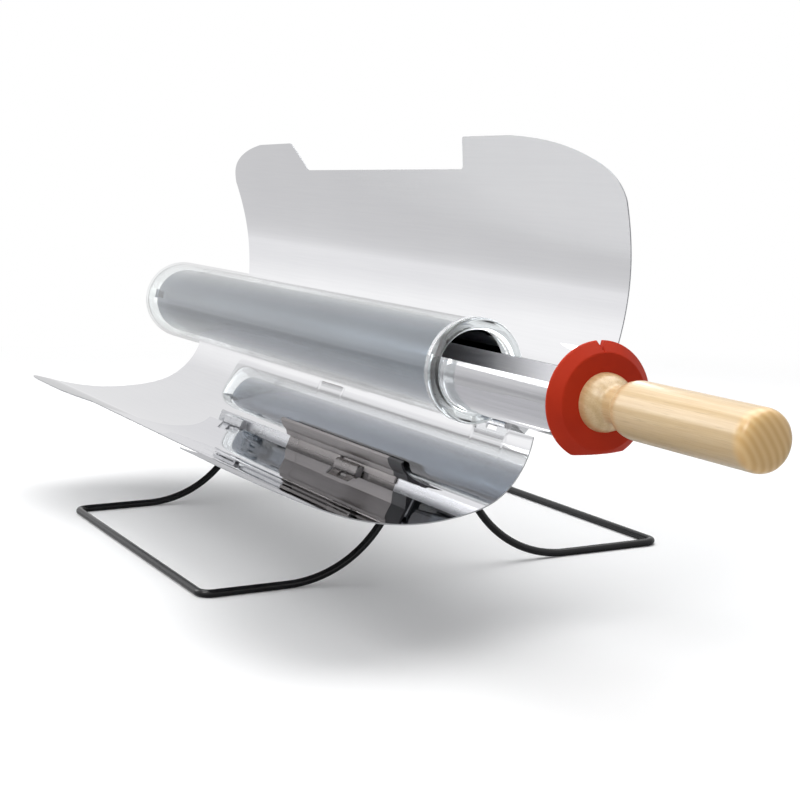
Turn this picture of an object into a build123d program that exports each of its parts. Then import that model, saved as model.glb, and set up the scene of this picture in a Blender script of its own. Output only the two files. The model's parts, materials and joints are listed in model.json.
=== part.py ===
from build123d import *
import os
from math import asin, atan2, cos, degrees, hypot, radians, sin, sqrt

# Folding solar cooker: an evacuated glass tube in a clamshell reflector on two wire legs.
# Frame: X runs along the tube towards the handle, Y points away from the sun, Z is up.
# The origin is on the ground, midway between the leg arms, under the leg pivots.
# Trough pieces are drawn upright about the leg pivots and then tipped by AIM_TILT.

# ---- evacuated tube -------------------------------------------------------------------
TUBE_OD = 70.0
TUBE_LENGTH = 610.0
MOUTH_X = 327.0
GLASS_WALL = 2.0
VACUUM_GAP = 4.5
INNER_WALL = 1.8
RIM_LENGTH = 6.0
RIM_ROUND = 2.5
TIP_SPACE = 12.0
CLIP_THICKNESS = 0.6
CLIP_ARM_WIDTH = 8.0
CLIP_HUB_RADIUS = 9.0
CLIP_FINGER = 13.0
CLIP_TURN = 31.0
GETTER_RADIUS = 6.5
GETTER_HEIGHT = 3.0

# ---- rail, saddles and hinges ---------------------------------------------------------
AIM_TILT = 44.0
RAIL_WIDTH = 7.4
RAIL_HEIGHT = 17.0
RAIL_NEAR_X = 324.0
RAIL_FAR_X = -266.0
PIVOT_TO_RAIL = 16.5
SADDLE_RISE = 6.0
SADDLE_LENGTH = 24.0
SADDLE_WIDTH = 22.0
SADDLE_FOOT_WIDTH = 15.0
BED_CENTRE_X = 26.0
SADDLE_OFFSET = 108.0
CRADLE_GAP = 0.3
CRADLE_SCREW_INSET = 15.0
BED_WIDTH = 44.0
BED_WALL = 2.0
SKIRT_WALL = 1.4
SKIRT_DROP = 4.6
SKIRT_GAP = 0.3
PAD_THICKNESS = 1.5
HINGE_DROP = 5.0
HINGE_PLACES = [-215.0, 42.0, 300.0]
PIN_RADIUS = 1.5
PIN_HEAD_RADIUS = 2.4
PIN_HEAD_HEIGHT = 1.0
KNUCKLE_RADIUS = 3.0
KNUCKLE_LENGTH = 14.0
LEAF_START = 3.1
LEAF_WIDTH = 23.0
LEAF_THICKNESS = 1.2
KNUCKLE_WEB = 4.0

# ---- reflectors -----------------------------------------------------------------------
# Curve of the mirror face from its hinge pin, as (across, up); outline as (x, chord).
MIRROR_CURVE = [
    (2.7, -0.8),
    (27.5, -9.5),
    (49.0, -7.7),
    (71.5, 4.6),
    (100.0, 30.2),
    (124.0, 64.0),
    (146.4, 111.9),
]
BAND_STEPS = 36
SHEET = 0.8
SHEET_TO_PIN = 4.5
NEAR_FOOT_X = 356.0
NEAR_EDGE_X = 375.0
NEAR_CORNER = [(NEAR_EDGE_X, 142.5), (369.5, 155.0), (350.0, 166.0), (312.0, 175.8), (252.0, 181.2)]
NOTCH_NEAR_X = 180.0
NOTCH_FAR_X = -148.0
EAR_CHORD = 180.5
FAR_EAR_CHORD = 176.0
NOTCH_NEAR_CHORD = 158.5
NOTCH_FAR_CHORD = 154.0
NOTCH_NEAR_SLANT = 15.0
NOTCH_FAR_SLANT = 19.0
NOTCH_ROUND = 5.0
FAR_CORNER = [(-223.0, 174.6), (-250.0, 171.4), (-275.0, 166.8), (-297.0, 160.4), (-313.0, 151.5), (-320.0, 140.5)]
FAR_MIDDLE = (-302.0, 70.0)
FAR_FOOT_X = -274.0
RIVET_RADIUS = 1.6
RIVET_HEAD_RADIUS = 3.0
RIVET_HEAD_HEIGHT = 0.8
RIVET_FROM_HINGE = 15.0
RIVET_SPACING = 26.0

# ---- legs and their pivots ------------------------------------------------------------
WIRE_RADIUS = 3.0
LEG_DROP = 118.5
ARM_X = 162.0
ARM_FLAT_START = 117.0
ARM_BEND_RADIUS = 92.0
BAR_BEND_RADIUS = 9.0
FRONT_REACH = 182.5
BACK_REACH = 202.8
EYE_RADIUS = 7.5
EYE_THICKNESS = 3.0
EYE_TAB_LENGTH = 14.0
WIRE_START = 9.0
WASHER_RADIUS = 6.5
WASHER_THICKNESS = 0.9
PLATE_THICKNESS = 2.5
PLATE_RADIUS = 9.0
FOOT_THICKNESS = 2.0
FOOT_WIDTH = 10.0
FOOT_LENGTH = 36.0
PIVOT_BOLT_RADIUS = 2.5
PIVOT_HEAD_RADIUS = 4.6
PIVOT_HEAD_HEIGHT = 3.5
PIVOT_NUT_HEIGHT = 4.0
PIVOT_BOLT_TAIL = 1.5

# ---- tray, stopper and handle ---------------------------------------------------------
PULLED_OUT = 143.8
TRAY_CLEARANCE = 1.5
TRAY_SHEET = 0.8
TRAY_LENGTH = 520.0
TRAY_RIM_UP = 11.0
END_PLATE = 1.5
STOPPER_INSET = 0.3
STOPPER_BEVEL = 6.6
STOPPER_THICKNESS = 7.6
STOPPER_LIP = 1.5
STOPPER_FLAT_DEPTH = 4.5
VENT_WIDTH = 4.0
VENT_DEPTH = 7.0
BEAD_RADIUS = 17.2
WAIST_RADIUS = 12.5
GRIP_RADIUS = 16.8
GRIP_START = 37.6
SHOULDER_LENGTH = 10.0
SHOULDER_BULGE = (0.35, 0.75)
HANDLE_LENGTH = 150.7
HANDLE_END_ROUND = 9.5
HANDLE_END_PULLS = (0.85, 0.75)
HANDLE_BOLT_RADIUS = 3.0
HANDLE_BOLT_HEAD_RADIUS = 5.5
HANDLE_BOLT_HEAD_HEIGHT = 3.0
INSERT_RADIUS = 5.0
INSERT_LENGTH = 16.0
BOLT_END_GAP = 2.0

# ---- screws and clearances ------------------------------------------------------------
SCREW_RADIUS = 1.75
SCREW_HEAD_RADIUS = 3.2
SCREW_HEAD_HEIGHT = 2.2
SCREW_GRIP = 8.0
SADDLE_SCREW_GRIP = 3.0
FIT = 0.05
TRAY_GAP = 0.3
KNUCKLE_GAP = 0.3
CLIP_GAP = 0.3
OVERRUN = 5.0

# ---- places worked out from the sizes above -------------------------------------------
TUBE_RADIUS = TUBE_OD / 2
HOLLOW_RADIUS = TUBE_RADIUS - GLASS_WALL
INNER_RADIUS = HOLLOW_RADIUS - VACUUM_GAP
BORE_RADIUS = INNER_RADIUS - INNER_WALL
RAIL_TOP = PIVOT_TO_RAIL + RAIL_HEIGHT
TUBE_UP = RAIL_TOP + SADDLE_RISE + TUBE_RADIUS
HINGE_UP = RAIL_TOP - HINGE_DROP
HINGE_ACROSS = RAIL_WIDTH / 2 + KNUCKLE_GAP + KNUCKLE_RADIUS
PIVOT_Z = LEG_DROP + WIRE_RADIUS
TUBE_Y = -TUBE_UP * sin(radians(AIM_TILT))
TUBE_Z = PIVOT_Z + TUBE_UP * cos(radians(AIM_TILT))
SADDLE_PLACES = {"near": BED_CENTRE_X + SADDLE_OFFSET, "far": BED_CENTRE_X - SADDLE_OFFSET}
CRADLE_HALF = SADDLE_OFFSET - SADDLE_LENGTH / 2 - CRADLE_GAP
CRADLE_SCREW_OFFSET = CRADLE_HALF - CRADLE_SCREW_INSET
SCREW_OFFSETS = [SADDLE_OFFSET, CRADLE_SCREW_OFFSET, -CRADLE_SCREW_OFFSET, -SADDLE_OFFSET]
BED_SCREW_XS = [BED_CENTRE_X + offset for offset in SCREW_OFFSETS]
DOME_X = MOUTH_X - TUBE_LENGTH + TUBE_RADIUS
HINGE_LENGTH = 3 * KNUCKLE_LENGTH + 2 * KNUCKLE_GAP
MIRROR = Spline(*MIRROR_CURVE)
CHORD_ANGLE = degrees(atan2(MIRROR_CURVE[-1][1], MIRROR_CURVE[-1][0]))
STACK_HALF = EYE_THICKNESS + 1.5 * WASHER_THICKNESS + 4 * FIT
TRAY_RADIUS = BORE_RADIUS - TRAY_CLEARANCE
TRAY_DROP = TRAY_CLEARANCE - TRAY_GAP

MIN_END = (Align.CENTER, Align.CENTER, Align.MIN)
TIPPED = Pos(0, 0, PIVOT_Z) * Rot(AIM_TILT, 0, 0)
TUBE_LINE = Pos(0, 0, TUBE_UP)
TRAY_LINE = Pos(0, TUBE_Y, TUBE_Z)


def rod(x_start, x_end, radius):
    """Cylinder along the X axis from x_start to x_end."""
    low = min(x_start, x_end)
    return Pos(low, 0, 0) * Rot(0, 90, 0) * Cylinder(radius, abs(x_end - x_start), align=MIN_END)


def block(x_range, y_range, z_range):
    """Box between the given limits."""
    sizes = [high - low for low, high in (x_range, y_range, z_range)]
    lows = [low for low, high in (x_range, y_range, z_range)]
    return Pos(*lows) * Box(*sizes, align=(Align.MIN, Align.MIN, Align.MIN))


def turned(edges):
    """Solid turned about the X axis from a closed outline of (x, radius)."""
    return revolve(make_face(edges), Axis.X)


def screw_up(length):
    """Pan-head screw pointing up, with the underside of its head at the origin."""
    head = Pos(0, 0, -SCREW_HEAD_HEIGHT) * Cylinder(SCREW_HEAD_RADIUS, SCREW_HEAD_HEIGHT, align=MIN_END)
    return head + Cylinder(SCREW_RADIUS, length, align=MIN_END)


def on_both_sides(shape):
    """The shape and its mirror image across the trough's middle."""
    return shape, mirror(shape, about=Plane.XZ)


# ---- evacuated tube -------------------------------------------------------------------
def outer_glass():
    """Outer tube with its dome and the solid ring that closes the vacuum at the mouth."""
    ring_x = MOUTH_X - RIM_LENGTH
    tip_x = DOME_X - TUBE_RADIUS
    mid = cos(radians(45))
    outline = [
        Line((MOUTH_X, BORE_RADIUS + RIM_ROUND), (MOUTH_X, TUBE_RADIUS - RIM_ROUND)),
        RadiusArc((MOUTH_X, TUBE_RADIUS - RIM_ROUND), (MOUTH_X - RIM_ROUND, TUBE_RADIUS), -RIM_ROUND),
        Line((MOUTH_X - RIM_ROUND, TUBE_RADIUS), (DOME_X, TUBE_RADIUS)),
        ThreePointArc(
            (DOME_X, TUBE_RADIUS),
            (DOME_X - TUBE_RADIUS * mid, TUBE_RADIUS * mid),
            (tip_x, 0),
        ),
        Line((tip_x, 0), (tip_x + GLASS_WALL, 0)),
        ThreePointArc(
            (tip_x + GLASS_WALL, 0),
            (DOME_X - HOLLOW_RADIUS * mid, HOLLOW_RADIUS * mid),
            (DOME_X, HOLLOW_RADIUS),
        ),
        Line((DOME_X, HOLLOW_RADIUS), (ring_x, HOLLOW_RADIUS)),
        Line((ring_x, HOLLOW_RADIUS), (ring_x, BORE_RADIUS)),
        Line((ring_x, BORE_RADIUS), (MOUTH_X - RIM_ROUND, BORE_RADIUS)),
        RadiusArc((MOUTH_X - RIM_ROUND, BORE_RADIUS), (MOUTH_X, BORE_RADIUS + RIM_ROUND), -RIM_ROUND),
    ]
    return TUBE_LINE * turned(outline)


def inner_glass():
    """Coated absorber tube, closed by a dome that stops short of the outer one."""
    dome_x = DOME_X + TIP_SPACE
    start_x = MOUTH_X - RIM_LENGTH
    mid = cos(radians(45))
    outline = [
        Line((start_x, BORE_RADIUS), (start_x, INNER_RADIUS)),
        Line((start_x, INNER_RADIUS), (dome_x, INNER_RADIUS)),
        ThreePointArc(
            (dome_x, INNER_RADIUS),
            (dome_x - INNER_RADIUS * mid, INNER_RADIUS * mid),
            (dome_x - INNER_RADIUS, 0),
        ),
        Line((dome_x - INNER_RADIUS, 0), (dome_x - BORE_RADIUS, 0)),
        ThreePointArc(
            (dome_x - BORE_RADIUS, 0),
            (dome_x - BORE_RADIUS * mid, BORE_RADIUS * mid),
            (dome_x, BORE_RADIUS),
        ),
        Line((dome_x, BORE_RADIUS), (start_x, BORE_RADIUS)),
    ]
    return TUBE_LINE * turned(outline)


def clip_plane_x():
    """X of the clip's face that touches the inner dome."""
    return DOME_X + TIP_SPACE - INNER_RADIUS - FIT


def wall_point(radius, share):
    """Point of the clip's curved wall, at a share of its turn back from the start of the dome."""
    turn = share * asin((DOME_X - clip_plane_x() + CLIP_THICKNESS) / radius)
    return DOME_X - radius * sin(turn), radius * cos(turn)


def clip_wall():
    """Thin shell just inside the outer dome, from which the clip's fingers are cut."""
    outer = HOLLOW_RADIUS - CLIP_GAP
    inner = outer - CLIP_THICKNESS
    end_x = DOME_X + CLIP_FINGER
    outline = [
        ThreePointArc(wall_point(outer, 1), wall_point(outer, 0.5), wall_point(outer, 0)),
        Line(wall_point(outer, 0), (end_x, outer)),
        Line((end_x, outer), (end_x, inner)),
        Line((end_x, inner), wall_point(inner, 0)),
        ThreePointArc(wall_point(inner, 0), wall_point(inner, 0.5), wall_point(inner, 1)),
        Line(wall_point(inner, 1), wall_point(outer, 1)),
    ]
    return turned(outline)


def getter_clip():
    """Three-armed spring star on the inner dome, with fingers that follow the outer glass."""
    plate_xs = (clip_plane_x() - CLIP_THICKNESS, clip_plane_x())
    reach = sqrt((HOLLOW_RADIUS - CLIP_GAP) ** 2 - (DOME_X - plate_xs[0]) ** 2)
    half = CLIP_ARM_WIDTH / 2
    wall = clip_wall()
    star = rod(*plate_xs, CLIP_HUB_RADIUS)
    for turn in (0, 120, 240):
        arm = block(plate_xs, (-half, half), (0, reach)) & rod(*plate_xs, reach)
        finger = wall & block((plate_xs[0], MOUTH_X), (-half, half), (0, TUBE_RADIUS))
        star += Rot(CLIP_TURN + turn, 0, 0) * (arm + finger)
    return TUBE_LINE * star


def getter():
    """Getter pellet on the clip's hub."""
    back_x = clip_plane_x() - CLIP_THICKNESS
    return TUBE_LINE * rod(back_x - GETTER_HEIGHT, back_x, GETTER_RADIUS)


# ---- rail, saddles and hinges ---------------------------------------------------------
def bracket_screw_xs():
    """X places of the screws that hold the leg brackets."""
    step = (FOOT_LENGTH / 2 + STACK_HALF + PLATE_THICKNESS) / 2
    return [side * ARM_X + offset for side in (1, -1) for offset in (-step, step)]


def rail():
    """Straight bar under the tube with the fixed hinge knuckles along both top edges."""
    half = RAIL_WIDTH / 2
    bar = block((RAIL_FAR_X, RAIL_NEAR_X), (-half, half), (PIVOT_TO_RAIL, RAIL_TOP))
    middle = KNUCKLE_LENGTH / 2
    web_ups = (HINGE_UP - KNUCKLE_WEB / 2, HINGE_UP + KNUCKLE_WEB / 2)
    for x in HINGE_PLACES:
        for side in (1, -1):
            bar += Pos(0, side * HINGE_ACROSS, HINGE_UP) * rod(x - middle, x + middle, KNUCKLE_RADIUS)
        bar += block((x - middle, x + middle), (-HINGE_ACROSS, HINGE_ACROSS), web_ups)
    for x in HINGE_PLACES:
        for side in (1, -1):
            bore = rod(x - HINGE_LENGTH, x + HINGE_LENGTH, PIN_RADIUS + FIT)
            bar -= Pos(0, side * HINGE_ACROSS, HINGE_UP) * bore
    for x in BED_SCREW_XS:
        bar -= Pos(x, 0, 0) * Cylinder(SCREW_RADIUS + FIT, 2 * RAIL_TOP)
    for x in bracket_screw_xs():
        bar -= Pos(x, 0, PIVOT_TO_RAIL) * Cylinder(SCREW_RADIUS + FIT, 2 * (SCREW_GRIP + FIT))
    return bar


def tube_bed(half, screw_xs):
    """Block on the rail with a thin trough that follows the tube, and holes for its screws."""
    top = RAIL_TOP + SADDLE_RISE + TUBE_RADIUS / 2
    outline = Polyline(
        (-SADDLE_FOOT_WIDTH / 2, RAIL_TOP),
        (SADDLE_FOOT_WIDTH / 2, RAIL_TOP),
        (SADDLE_WIDTH / 2, RAIL_TOP + SADDLE_RISE - PAD_THICKNESS),
        (SADDLE_WIDTH / 2, top),
        (-SADDLE_WIDTH / 2, top),
        (-SADDLE_WIDTH / 2, RAIL_TOP + SADDLE_RISE - PAD_THICKNESS),
        close=True,
    )
    body = extrude(Plane.YZ * make_face(outline), half, both=True)
    trough = rod(-half, half, TUBE_RADIUS + PAD_THICKNESS + BED_WALL)
    trough &= block((-half, half), (-BED_WIDTH / 2, BED_WIDTH / 2), (-2 * TUBE_RADIUS, 0))
    body += TUBE_LINE * trough
    body -= TUBE_LINE * rod(-2 * half, 2 * half, TUBE_RADIUS + PAD_THICKNESS)
    for x in screw_xs:
        body -= Pos(x, 0, RAIL_TOP) * Cylinder(SCREW_RADIUS + FIT, 2 * (SADDLE_SCREW_GRIP + FIT))
    return body


def saddle(x):
    """Moulded end of the tube's bed, which carries the tube on a pad."""
    return Pos(x, 0, 0) * tube_bed(SADDLE_LENGTH / 2, [0])


def cradle():
    """Metal trough between the two saddles, just clear of the glass, with skirts beside the rail."""
    bed = Pos(BED_CENTRE_X, 0, 0) * tube_bed(CRADLE_HALF, [CRADLE_SCREW_OFFSET, -CRADLE_SCREW_OFFSET])
    far_x, near_x = BED_CENTRE_X - CRADLE_HALF, BED_CENTRE_X + CRADLE_HALF
    skirt_from = RAIL_WIDTH / 2 + SKIRT_GAP
    for low_y in (skirt_from, -skirt_from - SKIRT_WALL):
        bed += block((far_x, near_x), (low_y, low_y + SKIRT_WALL), (RAIL_TOP - SKIRT_DROP, RAIL_TOP))
    half = HINGE_LENGTH / 2 + 2 * PIN_HEAD_HEIGHT
    for x in HINGE_PLACES:
        bed -= block((x - half, x + half), (-SADDLE_WIDTH, SADDLE_WIDTH), (PIVOT_TO_RAIL, RAIL_TOP))
    return bed


def saddle_pad(x):
    """Silicone strip between saddle and glass."""
    half = SADDLE_LENGTH / 2
    ring = rod(-half, half, TUBE_RADIUS + PAD_THICKNESS - FIT) - rod(-half, half, TUBE_RADIUS + FIT)
    strip = block((-half, half), (-SADDLE_WIDTH / 2, SADDLE_WIDTH / 2), (-2 * TUBE_RADIUS, 0))
    return Pos(x, 0, 0) * TUBE_LINE * (ring & strip)


def saddle_screws():
    """Screws up through the rail, one into each saddle and two into the cradle."""
    screw = Pos(0, 0, PIVOT_TO_RAIL) * screw_up(RAIL_HEIGHT + SADDLE_SCREW_GRIP)
    return Compound(children=[Pos(x, 0, 0) * screw for x in BED_SCREW_XS])


def hinge_pins():
    """Headed pins of the back hinge line."""
    half = HINGE_LENGTH / 2
    pin = rod(-half - PIN_HEAD_HEIGHT, half, PIN_RADIUS)
    for x_start in (-half - PIN_HEAD_HEIGHT - FIT, half + FIT):
        pin += rod(x_start, x_start + PIN_HEAD_HEIGHT, PIN_HEAD_RADIUS)
    pin += rod(half - FIT, half + FIT, PIN_RADIUS)
    return Compound(children=[Pos(x, HINGE_ACROSS, HINGE_UP) * pin for x in HINGE_PLACES])


# ---- reflectors -----------------------------------------------------------------------
def mirror_point(part_way, depth):
    """Point below the mirror face, at a share of the curve's length from the hinge."""
    slope = MIRROR % part_way
    return MIRROR @ part_way + Vector(slope.Y, -slope.X) * depth


def band(start, end, top_depth, low_depth, x_range):
    """Curved strip that follows the mirror face between two shares of its length."""
    steps = [start + (end - start) * i / BAND_STEPS for i in range(BAND_STEPS + 1)]
    top = [mirror_point(step, top_depth) for step in steps]
    low = [mirror_point(step, low_depth) for step in steps]
    outline = Spline(*top) + Line(top[-1], low[-1]) + Spline(*reversed(low)) + Line(low[0], top[0])
    plane = Plane(origin=(x_range[0], HINGE_ACROSS, HINGE_UP), x_dir=(0, 1, 0), z_dir=(1, 0, 0))
    return extrude(plane * make_face(outline), x_range[1] - x_range[0])


def reflector_outline():
    """Flat outline of a reflector, as (x, distance from the hinge along its chord)."""
    notch_low_near = (NOTCH_NEAR_X - NOTCH_NEAR_SLANT, NOTCH_NEAR_CHORD)
    notch_low_far = (NOTCH_FAR_X + NOTCH_FAR_SLANT, NOTCH_FAR_CHORD)
    edges = [
        Line((NEAR_FOOT_X, 0), (NEAR_EDGE_X, NEAR_CORNER[0][1])),
        Spline(*NEAR_CORNER),
        Line(NEAR_CORNER[-1], (NOTCH_NEAR_X, EAR_CHORD)),
        Line((NOTCH_NEAR_X, EAR_CHORD), notch_low_near),
        Line(notch_low_near, notch_low_far),
        Line(notch_low_far, (NOTCH_FAR_X, FAR_EAR_CHORD)),
        Line((NOTCH_FAR_X, FAR_EAR_CHORD), FAR_CORNER[0]),
        Spline(*FAR_CORNER),
        ThreePointArc(FAR_CORNER[-1], FAR_MIDDLE, (FAR_FOOT_X, 0)),
        Line((FAR_FOOT_X, 0), (NEAR_FOOT_X, 0)),
    ]
    face = make_face(edges)
    notch_xs = (NOTCH_NEAR_X, notch_low_near[0], notch_low_far[0], NOTCH_FAR_X)
    corners = [v for v in face.vertices() if min(abs(v.X - x) for x in notch_xs) < FIT]
    return fillet(corners, NOTCH_ROUND)


def leaf_share(distance):
    """Share of the mirror curve's length that lies within a distance of its hinge edge."""
    return distance / MIRROR.length


def rivet_places():
    """Planes on the mirror face, facing down, where the back leaves are riveted."""
    slope = MIRROR % leaf_share(RIVET_FROM_HINGE)
    point = MIRROR @ leaf_share(RIVET_FROM_HINGE)
    places = []
    for x in HINGE_PLACES:
        for offset in (-RIVET_SPACING / 2, RIVET_SPACING / 2):
            origin = (x + offset, HINGE_ACROSS + point.X, HINGE_UP + point.Y)
            places.append(Plane(origin=origin, x_dir=(1, 0, 0), z_dir=(0, slope.Y, -slope.X)))
    return places


def reflector():
    """Back mirror sheet with its notch, its rivet holes and room for the hinges."""
    sheet = band(0, 1, 0, SHEET, (FAR_CORNER[-1][0] - OVERRUN, NEAR_EDGE_X + OVERRUN))
    chord_plane = Plane(
        origin=(0, HINGE_ACROSS, HINGE_UP),
        x_dir=(1, 0, 0),
        z_dir=(0, -sin(radians(CHORD_ANGLE)), cos(radians(CHORD_ANGLE))),
    )
    sheet &= extrude(chord_plane * reflector_outline(), 2 * TUBE_OD, both=True)
    for place in rivet_places():
        sheet -= place * Cylinder(RIVET_RADIUS + FIT, 4 * (SHEET + LEAF_THICKNESS))
    half = HINGE_LENGTH / 2 + PIN_HEAD_HEIGHT + KNUCKLE_GAP
    for x in HINGE_PLACES:
        sheet -= Pos(0, HINGE_ACROSS, HINGE_UP) * rod(x - half, x + half, SHEET_TO_PIN)
    return sheet


def hinge_leaf(x):
    """Leaf under the mirror's inner edge, with the two moving knuckles of one hinge."""
    half = HINGE_LENGTH / 2
    start = leaf_share(LEAF_START)
    leaf = band(start, leaf_share(LEAF_WIDTH), SHEET + FIT, SHEET + LEAF_THICKNESS, (x - half, x + half))
    web = Polyline(
        (0, 0),
        mirror_point(start, SHEET + FIT),
        mirror_point(start, SHEET + LEAF_THICKNESS),
        (0, -KNUCKLE_RADIUS),
        close=True,
    )
    for low in (x - half, x + half - KNUCKLE_LENGTH):
        plane = Plane(origin=(low, HINGE_ACROSS, HINGE_UP), x_dir=(0, 1, 0), z_dir=(1, 0, 0))
        leaf += extrude(plane * make_face(web), KNUCKLE_LENGTH)
        leaf += Pos(0, HINGE_ACROSS, HINGE_UP) * rod(low, low + KNUCKLE_LENGTH, KNUCKLE_RADIUS)
    return leaf - Pos(0, HINGE_ACROSS, HINGE_UP) * rod(x - half, x + half, PIN_RADIUS + FIT)


def hinge_leaves():
    """The three leaves of the back reflector, drilled for their rivets."""
    leaves = []
    for x in HINGE_PLACES:
        leaf = hinge_leaf(x)
        for place in rivet_places():
            leaf -= place * Cylinder(RIVET_RADIUS + FIT, 4 * (SHEET + LEAF_THICKNESS))
        leaves.append(leaf)
    return Compound(children=leaves)


def rivets():
    """Flush rivets: sunk a hair below the mirror face, with a head under each leaf."""
    sunk = 2 * FIT
    grip = SHEET + LEAF_THICKNESS + 3 * FIT
    shank = Pos(0, 0, sunk) * Cylinder(RIVET_RADIUS, grip - sunk, align=MIN_END)
    head = Pos(0, 0, grip) * Cylinder(RIVET_HEAD_RADIUS, RIVET_HEAD_HEIGHT, align=MIN_END)
    return Compound(children=[place * (shank + head) for place in rivet_places()])


# ---- legs and their pivots ------------------------------------------------------------
def arm_angle():
    """Slope of a leg arm at its pivot, in degrees: the line that meets the arm's bend."""
    to_centre = atan2(ARM_BEND_RADIUS - LEG_DROP, ARM_FLAT_START)
    spread = asin(ARM_BEND_RADIUS / hypot(ARM_FLAT_START, ARM_BEND_RADIUS - LEG_DROP))
    return degrees(to_centre - spread)


def arm_path(reach):
    """One leg arm from the pivot down to the middle of the ground bar."""
    slope = radians(arm_angle())
    run = sqrt(ARM_FLAT_START**2 + (LEG_DROP - ARM_BEND_RADIUS) ** 2 - ARM_BEND_RADIUS**2)
    start = (ARM_X, WIRE_START * cos(slope), PIVOT_Z + WIRE_START * sin(slope))
    bend_start = (ARM_X, run * cos(slope), PIVOT_Z + run * sin(slope))
    half = slope / 2
    bend_middle = (
        ARM_X,
        ARM_FLAT_START + ARM_BEND_RADIUS * sin(half),
        WIRE_RADIUS + ARM_BEND_RADIUS * (1 - cos(half)),
    )
    corner = BAR_BEND_RADIUS * (1 - cos(radians(45)))
    return (
        Line(start, bend_start)
        + ThreePointArc(bend_start, bend_middle, (ARM_X, ARM_FLAT_START, WIRE_RADIUS))
        + Line((ARM_X, ARM_FLAT_START, WIRE_RADIUS), (ARM_X, reach - BAR_BEND_RADIUS, WIRE_RADIUS))
        + ThreePointArc(
            (ARM_X, reach - BAR_BEND_RADIUS, WIRE_RADIUS),
            (ARM_X - corner, reach - corner, WIRE_RADIUS),
            (ARM_X - BAR_BEND_RADIUS, reach, WIRE_RADIUS),
        )
        + Line((ARM_X - BAR_BEND_RADIUS, reach, WIRE_RADIUS), (0, reach, WIRE_RADIUS))
    )


def leg(reach, eye_low, eye_high):
    """Half of a wire leg with its flattened eye, mirrored to the whole leg."""
    path = arm_path(reach)
    start = path.edges().sort_by_distance((ARM_X, 0, PIVOT_Z))[0]
    section = Plane(origin=start @ 0, z_dir=start % 0) * Circle(WIRE_RADIUS)
    half = sweep(section, path)
    eye = rod(eye_low, eye_high, EYE_RADIUS)
    tab = block((eye_low, eye_high), (0, EYE_TAB_LENGTH), (-WIRE_RADIUS, WIRE_RADIUS))
    lug = eye + Rot(arm_angle(), 0, 0) * tab
    half += Pos(0, 0, PIVOT_Z) * lug
    half -= Pos(0, 0, PIVOT_Z) * rod(eye_low, eye_high, PIVOT_BOLT_RADIUS + FIT)
    return half + mirror(half, about=Plane.YZ)


def leg_front():
    """Shorter leg on the sun side; its eyes sit on the outer side of each stack."""
    low = ARM_X + WASHER_THICKNESS / 2 + FIT
    return mirror(leg(FRONT_REACH, low, low + EYE_THICKNESS), about=Plane.XZ)


def leg_back():
    """Longer leg on the shade side; its eyes sit on the inner side of each stack."""
    high = ARM_X - WASHER_THICKNESS / 2 - FIT
    return leg(BACK_REACH, high - EYE_THICKNESS, high)


def bracket(x):
    """Fork under the rail that carries both legs on one pivot bolt."""
    foot_half = FOOT_LENGTH / 2
    low = PIVOT_TO_RAIL - FOOT_THICKNESS
    fork = block((x - foot_half, x + foot_half), (-FOOT_WIDTH / 2, FOOT_WIDTH / 2), (low, PIVOT_TO_RAIL))
    for inner in (STACK_HALF, -STACK_HALF - PLATE_THICKNESS):
        plate_xs = (x + inner, x + inner + PLATE_THICKNESS)
        fork += block(plate_xs, (-FOOT_WIDTH / 2, FOOT_WIDTH / 2), (0, low))
        fork += rod(*plate_xs, PLATE_RADIUS)
    fork -= rod(x - foot_half, x + foot_half, PIVOT_BOLT_RADIUS + FIT)
    for screw_x in bracket_screw_xs():
        fork -= Pos(screw_x, 0, PIVOT_TO_RAIL) * Cylinder(SCREW_RADIUS + FIT, 4 * FOOT_THICKNESS)
    return fork


def bracket_screws():
    """Two screws up through each bracket foot into the rail."""
    screw = Pos(0, 0, PIVOT_TO_RAIL - FOOT_THICKNESS) * screw_up(FOOT_THICKNESS + SCREW_GRIP)
    return Compound(children=[Pos(x, 0, 0) * screw for x in bracket_screw_xs()])


def friction_washers():
    """Nylon washers between eyes and plates, three on each bolt."""
    ring = rod(-WASHER_THICKNESS / 2, WASHER_THICKNESS / 2, WASHER_RADIUS)
    ring -= rod(-WASHER_THICKNESS, WASHER_THICKNESS, PIVOT_BOLT_RADIUS + FIT)
    step = EYE_THICKNESS + WASHER_THICKNESS + 2 * FIT
    xs = [side * ARM_X + offset for side in (1, -1) for offset in (-step, 0, step)]
    return Compound(children=[Pos(x, 0, 0) * ring for x in xs])


def hexagon_rod(x_start, x_end, radius):
    """Hexagonal bar along X with the given radius across its corners."""
    plane = Plane(origin=(x_start, 0, 0), x_dir=(0, 1, 0), z_dir=(1, 0, 0))
    return extrude(plane * RegularPolygon(radius, 6), x_end - x_start)


def pivot_bolt(side):
    """Hexagon bolt through one fork, with its head on the outer side."""
    outer = ARM_X + STACK_HALF + PLATE_THICKNESS
    inner = ARM_X - STACK_HALF - PLATE_THICKNESS - PIVOT_NUT_HEIGHT - PIVOT_BOLT_TAIL
    bolt = rod(inner, outer, PIVOT_BOLT_RADIUS)
    bolt += hexagon_rod(outer, outer + PIVOT_HEAD_HEIGHT, PIVOT_HEAD_RADIUS)
    return bolt if side > 0 else mirror(bolt, about=Plane.YZ)


def pivot_nuts():
    """Lock nuts on the inner side of each fork."""
    face = ARM_X - STACK_HALF - PLATE_THICKNESS
    nut = hexagon_rod(face - PIVOT_NUT_HEIGHT, face, PIVOT_HEAD_RADIUS)
    nut -= rod(face - 2 * PIVOT_NUT_HEIGHT, face + OVERRUN, PIVOT_BOLT_RADIUS + FIT)
    return Compound(children=[nut, mirror(nut, about=Plane.YZ)])


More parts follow.
